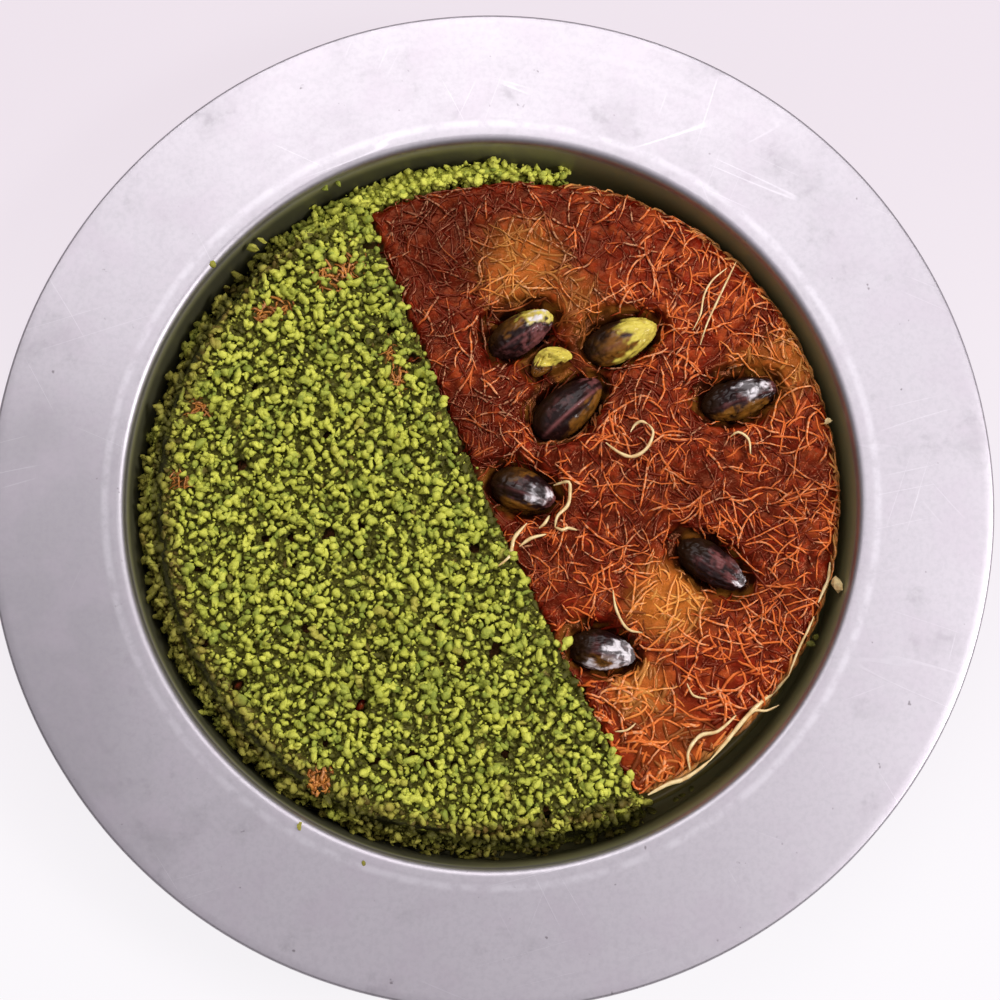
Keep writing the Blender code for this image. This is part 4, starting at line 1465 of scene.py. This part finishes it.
def kernel_material(settings):
    """Dark wrinkled skin, wet with syrup, with bare, amber and pink patches, whitish painted
    highlights and a painted shadow on its far left side.
    """
    material, board, place = material_board("kernel_skin")
    blotch = board.noise(place, 3.2 * MM, 3.0, 0.6)
    fine = board.noise(place, 0.7 * MM, 3.0, 0.65)
    streaks = board.noise(place, 2.6 * MM, 2.0, 0.5, 0.8)
    skin = board.mix(blotch.ramp(0.50, 0.72) * 0.4, settings.skin, settings.blush)
    amber = board.mix(streaks.ramp(0.28, 0.60), settings.skin, settings.amber)
    amber = board.mix(blotch.ramp(0.42, 0.66) * 0.35, amber, (0.25, 0.115, 0.013))
    base = board.mix(painted(board, "amber") * 0.95, skin, amber)
    base = board.mix(painted(board, "blush") * streaks.ramp(0.35, 0.6) * 0.8, base, settings.blush)
    base = board.mix(painted(board, "ridge") * 0.9, base, settings.blush)
    flesh = board.mix(streaks.ramp(0.45, 0.75) * 0.6, settings.flesh, settings.amber)
    base = board.mix(painted(board, "flesh"), base, flesh)
    # Pale: whitish painted highlights, and on the south kernel's lower flank cream skin.
    pale = painted(board, "pale") * (0.15 + 0.8 * streaks.ramp(0.42, 0.58))
    base = board.mix(pale, base, settings.pale)
    # Painted shadow on the far left side of each kernel.
    drowned = painted(board, "drowned")
    base = board.mix(drowned * 0.9, base, (0.018, 0.007, 0.002))
    shine = {"Specular IOR Level": 0.1, "Coat Roughness": 0.05}
    shine["Coat Weight"] = 0.22 - 0.10 * drowned
    relief = (streaks + fine * 0.12, 0.5 * MM, 0.35)
    close_material(board, base, 0.35 + 0.2 * fine, shine, relief)
    return material


class KUNAFA_OT_kernels(bpy.types.Operator):
    """Shape the whole kernels"""

    bl_idname = "kunafa.kernels"
    bl_label = "Kernels"

    def execute(self, context):
        material = kernel_material(context.scene.kunafa_kernel)
        meshes = {}
        for seed, (node, look) in enumerate(KERNEL_LOOKS.items()):
            name = node.replace("kernel", "nut")
            meshes[node] = kernel_shape(name, look, node_middle(node), seed)
        meshes["kernel_piece"] = folded_piece("nut_piece", node_middle("kernel_piece"))
        for node, mesh in meshes.items():
            mesh.materials.append(material)
            placed(mesh, "kernel", node)
        return {"FINISHED"}


# Loose pale threads


# Each thread's thickness as a share of a laid thread's, and its route in millimetres. The last
# ones lie along the cake's edge.
LOOSE_ROUTES = (
    (1.3, ((8.4, -5.3), (5.5, -8.7), (4.8, -11.3), (4.1, -13.7), (1.5, -15.8))),
    (1.2, ((6.6, -10.9), (9.3, -9.0), (12.9, -8.0))),
    (1.1, ((11.2, -6.5), (12.6, -5.4), (13.7, -3.5))),
    (1.3, ((14.8, 3.9), (18.1, 4.4), (18.6, 2.6), (18.1, -1.0), (15.6, -3.8), (15.0, -6.3))),
    (1.2, ((15.0, -6.3), (16.7, -7.1), (18.0, -6.5), (20.2, -7.1))),
    (1.3, ((27.2, 14.0), (30.4, 11.3), (33.6, 10.5), (36.8, 12.4), (38.4, 16.2), (37.2, 18.2))),
    (1.0, ((37.2, 18.2), (35.6, 18.9), (34.1, 18.2), (33.0, 16.4))),
    (1.0, ((28.6, -21.3), (29.4, -26.0), (31.9, -30.4), (35.4, -31.4))),
    (0.8, ((45.8, -43.3), (47.2, -46.1), (50.4, -46.9))),
    (0.8, ((28.9, -54.5), (31.6, -54.2), (33.7, -52.6))),
    (0.75, ((58.8, 58.1), (56.6, 53.5), (54.3, 48.7), (51.5, 42.6), (49.9, 37.7))),
    (0.7, ((56.6, 56.6), (53.0, 53.5), (51.0, 49.9), (50.0, 45.0), (48.2, 41.3))),
    (0.9, ((56.7, 15.3), (58.6, 16.3), (61.0, 14.6), (61.4, 11.0))),
    (0.9, ((58.0, -52.4), (61.3, -49.7), (64.4, -49.6), (67.3, -48.3))),
    (
        1.5,
        ((69.8, -41.3), (66.7, -44.8), (63.2, -47.6), (59.2, -51.6), (54.4, -57.4), (51.0, -61.2)),
    ),
    (1.3, ((46.3, -63.4), (45.9, -59.3), (48.7, -55.5), (52.9, -54.4), (57.2, -50.7))),
    (1.5, ((50.9, -61.2), (47.9, -63.6), (44.4, -65.7), (41.3, -66.6), (36.4, -69.2))),
    (0.9, ((76.0, -27.4), (74.4, -30.8), (72.4, -34.8), (69.8, -41.3))),
    (1.2, ((80.0, -14.5), (79.6, -18.5), (78.0, -22.0), (77.0, -24.2))),
)


# Rays that look for the top start at this height.
SKY = 40 * MM


def route_tree():
    """A smooth thread along each run of points."""
    board, given = geometry_board(
        "Threads along routes", Float="Radius Spacing", Int="Sides", Material="Material"
    )
    curves = board.add("GeometryNodeMeshToCurve", {}, {"Mesh": given["Geometry"]})
    kind = {"spline_type": "CATMULL_ROM"}
    curves = board.add("GeometryNodeCurveSplineType", kind, {"Curve": curves})
    values = {"Curve": curves, "Length": given["Spacing"]}
    curves = board.add("GeometryNodeResampleCurve", {"mode": "LENGTH"}, values)
    along = board.add("GeometryNodeSplineParameter") * 2.0 - 1
    uneven = 0.6 + 0.8 * board.noise(position(board), 2.2 * MM, 1.0)
    taper = 1 - along.math("ABSOLUTE") ** 3.0 * 0.7
    radius = given["Radius"] * named(board, "girth") * uneven * taper
    threads = tubes(board, curves, given["Sides"], radius)
    return close_geometry(board, threads, given["Material"])


def pale_material(settings):
    """Unbaked thread: cream, a little translucent."""
    material, board, place = material_board("pale_thread")
    patch = board.noise(place, 2.0 * MM, 2.0, 0.5)
    base = board.mix(patch.ramp(0.35, 0.7) * 0.6, settings.pale, (0.58, 0.30, 0.08))
    coat = {"Coat Weight": 0.4, "Coat Roughness": 0.12}
    close_material(board, base, 0.35 + 0.15 * patch, coat)
    return material


class KUNAFA_OT_loose_threads(bpy.types.Operator):
    """Lay the loose pale threads"""

    bl_idname = "kunafa.loose_threads"
    bl_label = "Loose threads"

    def execute(self, context):
        settings = context.scene.kunafa_pastry
        tops = node_tree_of("pastry", "pistachio_crumbs")
        corners, edges, girths = [], [], []
        for girth, route in LOOSE_ROUTES:
            start = len(corners)
            for index, (x, y) in enumerate(route):
                high = Vector((x * MM, y * MM, SKY))
                hit = tops.ray_cast(high, Vector((0, 0, -1)))[0]
                lift = (1.0 + 0.4 * (index % 2)) * MM
                level = hit.z + lift if hit else corners[-1][2]
                corners.append((high.x, high.y, level))
                girths.append(girth)
            edges += [(i, i + 1) for i in range(start, len(corners) - 1)]
        mesh = bpy.data.meshes.new("routes")
        mesh.from_pydata(corners, edges, [])
        paint(mesh, "girth", girths)
        values = {
            "Radius": settings.radius,
            "Spacing": 0.6 * MM,
            "Sides": 8,
            "Material": pale_material(settings),
        }
        dressed(grown("loose_threads", mesh, route_tree(), values), "baked_pastry")
        return {"FINISHED"}


# Stray crumbs


# Single crumbs away from the heap: where they lie and half their width, all in millimetres.
GREEN_CRUMBS = (
    ((-57.4, 61.0, 21.5), 1.2),
    ((-55.2, 62.8, 21.0), 1.0),
    ((-40.0, 75.6, 22.0), 1.2),
    ((-37.0, 76.9, 21.6), 0.9),
    ((-66.2, 56.0, 25.3), 0.9),
    ((45.6, -68.8, 2.3), 1.0),
    ((48.2, -67.4, 2.3), 0.9),
    ((44.1, -70.0, 2.2), 0.8),
    ((38.2, -72.4, 2.3), 1.0),
    ((75.2, -34.0, 18.6), 0.9),
    ((76.2, -32.4, 18.9), 1.1),
    ((-43.9, -76.6, 25.4), 1.0),
    ((-29.2, -84.9, 25.4), 0.6),
)
# More of them cling to the foot of the wall: from which angle to which, how many, and the range
# of their heights and half widths in millimetres.
CLINGING = (
    (96, 116, 34, (8.0, 13.5), (0.8, 1.5)),
    (118, 136, 22, (6.5, 12.0), (0.7, 1.3)),
    (136, 158, 26, (6.5, 12.5), (0.8, 1.5)),
    (158, 186, 30, (8.0, 14.5), (0.8, 1.6)),
)
# How often the next one starts a new bunch.
NEW_BUNCH = 0.35
PALE_CRUMBS = (((81.4, -19.9, 19.2), 1.7), ((80.2, 19.4, 18.2), 0.8))


def clinging_crumbs():
    """Crumbs in small bunches against the well's wall."""
    draw = random.Random(9)
    crumbs = []
    for start, end, number, heights, sizes in CLINGING:
        for _ in range(number):
            if not crumbs or draw.random() < NEW_BUNCH:
                angle, level = draw.uniform(start, end), draw.uniform(*heights)
            size = draw.uniform(*sizes)
            turn = math.radians(min(max(angle + draw.gauss(0, 0.9), start), end))
            high = level + draw.gauss(0, 1.0)
            above = high * MM - SHEET - FLOOR_FILLET
            wall = FOOT_RADIUS + above * WELL_LEAN / WELL_SLOPE_HEIGHT
            reach = wall / MM - size * 1.15
            crumbs.append(((math.cos(turn) * reach, math.sin(turn) * reach, high), size))
    return tuple(crumbs)


def crumb_mesh(name, crumbs, seed):
    """All the crumbs of one colour as one mesh."""
    draw = random.Random(seed)
    shape = bmesh.new()
    tints = []
    for place, size in crumbs:
        lump(shape, draw, Vector(place) * MM, size * MM)
        tints += [draw.random()] * (len(shape.verts) - len(tints))
    mesh = mesh_from(name, shape)
    paint(mesh, "tint", tints)
    # Stray crumbs count as high in the heap, so they take none of the painted shade low in it.
    paint(mesh, "height", [2.0] * len(tints))
    return mesh


class KUNAFA_OT_stray_crumbs(bpy.types.Operator):
    """Place the stray crumbs"""

    bl_idname = "kunafa.stray_crumbs"
    bl_label = "Stray crumbs"

    def execute(self, context):
        green = crumb_mesh("stray_crumbs", GREEN_CRUMBS + clinging_crumbs(), 5)
        green.materials.append(nut_material(context.scene.kunafa_pistachio, "stray_nut", 0.1))
        pale = crumb_mesh("pale_crumbs", PALE_CRUMBS, 6)
        pale.materials.append(pale_material(context.scene.kunafa_pastry))
        placed(green, "chopped_pistachio")
        placed(pale, "baked_pastry")
        return {"FINISHED"}


# Syrup


SYRUP_START, SYRUP_END = math.radians(-70), math.radians(84)
SYRUP_STEPS = 120
SYRUP_INNER = 76 * MM
SYRUP_OUTER = FOOT_RADIUS - 0.9 * MM


def syrup_mesh():
    """A thin closed film on the floor of the well, between the cake and the wall."""
    shape = bmesh.new()
    rings = []
    for step in range(SYRUP_STEPS + 1):
        angle = SYRUP_START + (SYRUP_END - SYRUP_START) * step / SYRUP_STEPS
        way = Vector((math.cos(angle), math.sin(angle), 0))
        ends = math.sin(math.pi * step / SYRUP_STEPS) ** 0.35
        wide = SYRUP_OUTER - (1 - ends) * 5 * MM
        beneath = SHEET + 0.05 * MM
        level = SHEET + (0.35 + 0.5 * ends) * MM
        section = (
            (SYRUP_INNER, beneath),
            (SYRUP_OUTER - 3 * MM, beneath),
            (wide, level + 0.5 * MM * ends),
            (wide - 1.2 * MM, level + 0.2 * MM * ends),
            (SYRUP_INNER, level),
        )
        rings.append([shape.verts.new(way * reach + UP * height) for reach, height in section])
    for ring, after in zip(rings, rings[1:]):
        for index in range(len(ring)):
            following = (index + 1) % len(ring)
            corners = (ring[index], ring[following], after[following], after[index])
            shape.faces.new(corners)
    shape.faces.new(rings[0])
    shape.faces.new(list(reversed(rings[-1])))
    bmesh.ops.recalc_face_normals(shape, faces=shape.faces)
    mesh = mesh_from("syrup_film", shape)
    mesh.shade_smooth()
    return mesh


def syrup_material():
    material, board, place = material_board("syrup")
    cloudy = board.noise(place, 8 * MM, 3.0, 0.6)
    base = board.mix(cloudy, (0.15, 0.115, 0.032), (0.30, 0.25, 0.07))
    coat = {"Coat Weight": 0.3, "Coat Roughness": 0.15}
    close_material(board, base, 0.22 + 0.2 * cloudy, coat)
    return material


class KUNAFA_OT_syrup(bpy.types.Operator):
    """Pour the thin film of syrup"""

    bl_idname = "kunafa.syrup"
    bl_label = "Syrup"

    def execute(self, context):
        mesh = syrup_mesh()
        mesh.materials.append(syrup_material())
        placed(mesh, "baked_pastry")
        return {"FINISHED"}


# Stage


FLOOR_REACH = 3.0
FLOOR_CORNERS = ((-1, -1), (1, -1), (1, 1), (-1, 1))
LIGHT_DISTANCE = 0.9
WHITE = (1.0, 0.98, 1.0)


def area_light(name, place, size, power):
    """A square light that shines on the middle of the dish."""
    light = bpy.data.lights.new(name, "AREA")
    light.shape = "RECTANGLE"
    light.size, light.size_y = size
    light.energy = power
    light.color = WHITE
    obj = linked(name, light)
    obj.location = place
    obj.rotation_euler = (-Vector(place)).to_track_quat("-Z", "Y").to_euler()


def light_place(azimuth, elevation):
    """A place at this bearing from +X and height above the horizon, in degrees."""
    a, e = math.radians(azimuth), math.radians(elevation)
    way = Vector((math.cos(a) * math.cos(e), math.sin(a) * math.cos(e), math.sin(e)))
    return LIGHT_DISTANCE * way


class KUNAFA_OT_stage(bpy.types.Operator):
    """Set the floor, the light and the camera"""

    bl_idname = "kunafa.stage"
    bl_label = "Stage"

    def execute(self, context):
        settings = context.scene.kunafa_stage
        floor_mesh = bpy.data.meshes.new("floor")
        corners = [(x * FLOOR_REACH, y * FLOOR_REACH, 0) for x, y in FLOOR_CORNERS]
        floor_mesh.from_pydata(corners, [], [(0, 1, 2, 3)])
        material, board, place = material_board("floor")
        y = board.apart(place)[1]
        shine = {"Specular IOR Level": 0.1, "Emission Strength": 1.0}
        shine["Emission Color"] = board.mix(y.ramp(0.12, -0.12), settings.far, settings.near)
        close_material(board, tuple(settings.floor), 0.9, shine)
        floor_mesh.materials.append(material)
        floor = linked("floor", floor_mesh)

        world = bpy.data.worlds.new("studio")
        context.scene.world = world
        world.use_nodes = True
        world.node_tree.nodes.clear()
        sky = Board(world.node_tree)
        up = sky.apart(sky.add("ShaderNodeTexCoord", output="Generated"))[2]
        strength = settings.around + (settings.overhead - settings.around) * up.ramp(0.55, 0.9)
        values = {"Color": opaque((0.97, 0.93, 1.0)), "Strength": strength}
        background = sky.add("ShaderNodeBackground", {}, values)
        sky.add("ShaderNodeOutputWorld", {}, {"Surface": background})

        area_light("window", light_place(93, 56), (0.85, 0.45), settings.window)
        area_light("lamp", light_place(-8, 45), (0.30, 0.22), settings.lamp)

        camera = linked("camera", bpy.data.cameras.new("camera"))
        camera.location = CAMERA_PLACE
        camera.rotation_euler = (CAMERA_TARGET - CAMERA_PLACE).to_track_quat("-Z", "Y").to_euler()
        camera.data.sensor_width = SENSOR
        camera.data.lens = CAMERA_LENS
        camera.data.clip_start = 0.01
        context.scene.camera = camera
        context.scene.view_settings.view_transform = "Standard"
        return {"FINISHED"}


# Panel and registration


SETTINGS = {
    "kunafa_dish": DishSettings,
    "kunafa_pastry": PastrySettings,
    "kunafa_pistachio": PistachioSettings,
    "kunafa_kernel": KernelSettings,
    "kunafa_stage": StageSettings,
}
OPERATORS = (
    KUNAFA_OT_dish,
    KUNAFA_OT_pastry,
    KUNAFA_OT_pistachio,
    KUNAFA_OT_kernels,
    KUNAFA_OT_loose_threads,
    KUNAFA_OT_stray_crumbs,
    KUNAFA_OT_syrup,
    KUNAFA_OT_stage,
)


class KUNAFA_PT_panel(bpy.types.Panel):
    """Lists the steps and their settings"""

    bl_label = "Kunafa"
    bl_idname = "KUNAFA_PT_panel"
    bl_space_type = "VIEW_3D"
    bl_region_type = "UI"
    bl_category = "Kunafa"

    def draw(self, context):
        for operator in OPERATORS:
            self.layout.operator(operator.bl_idname)
        for attribute, group in SETTINGS.items():
            box = self.layout.box()
            for name in group.__annotations__:
                box.prop(getattr(context.scene, attribute), name)


def register():
    for group in SETTINGS.values():
        bpy.utils.register_class(group)
    for operator in OPERATORS:
        bpy.utils.register_class(operator)
    bpy.utils.register_class(KUNAFA_PT_panel)
    for attribute, group in SETTINGS.items():
        setattr(bpy.types.Scene, attribute, PointerProperty(type=group))


def unregister():
    for attribute in SETTINGS:
        delattr(bpy.types.Scene, attribute)
    bpy.utils.unregister_class(KUNAFA_PT_panel)
    for operator in reversed(OPERATORS):
        bpy.utils.unregister_class(operator)
    for group in reversed(SETTINGS.values()):
        bpy.utils.unregister_class(group)


def main():
    register()
    bpy.ops.kunafa.dish()
    bpy.ops.kunafa.pastry()
    bpy.ops.kunafa.pistachio()
    bpy.ops.kunafa.kernels()
    bpy.ops.kunafa.loose_threads()
    bpy.ops.kunafa.stray_crumbs()
    bpy.ops.kunafa.syrup()
    bpy.ops.kunafa.stage()


if __name__ == "__main__":
    main()
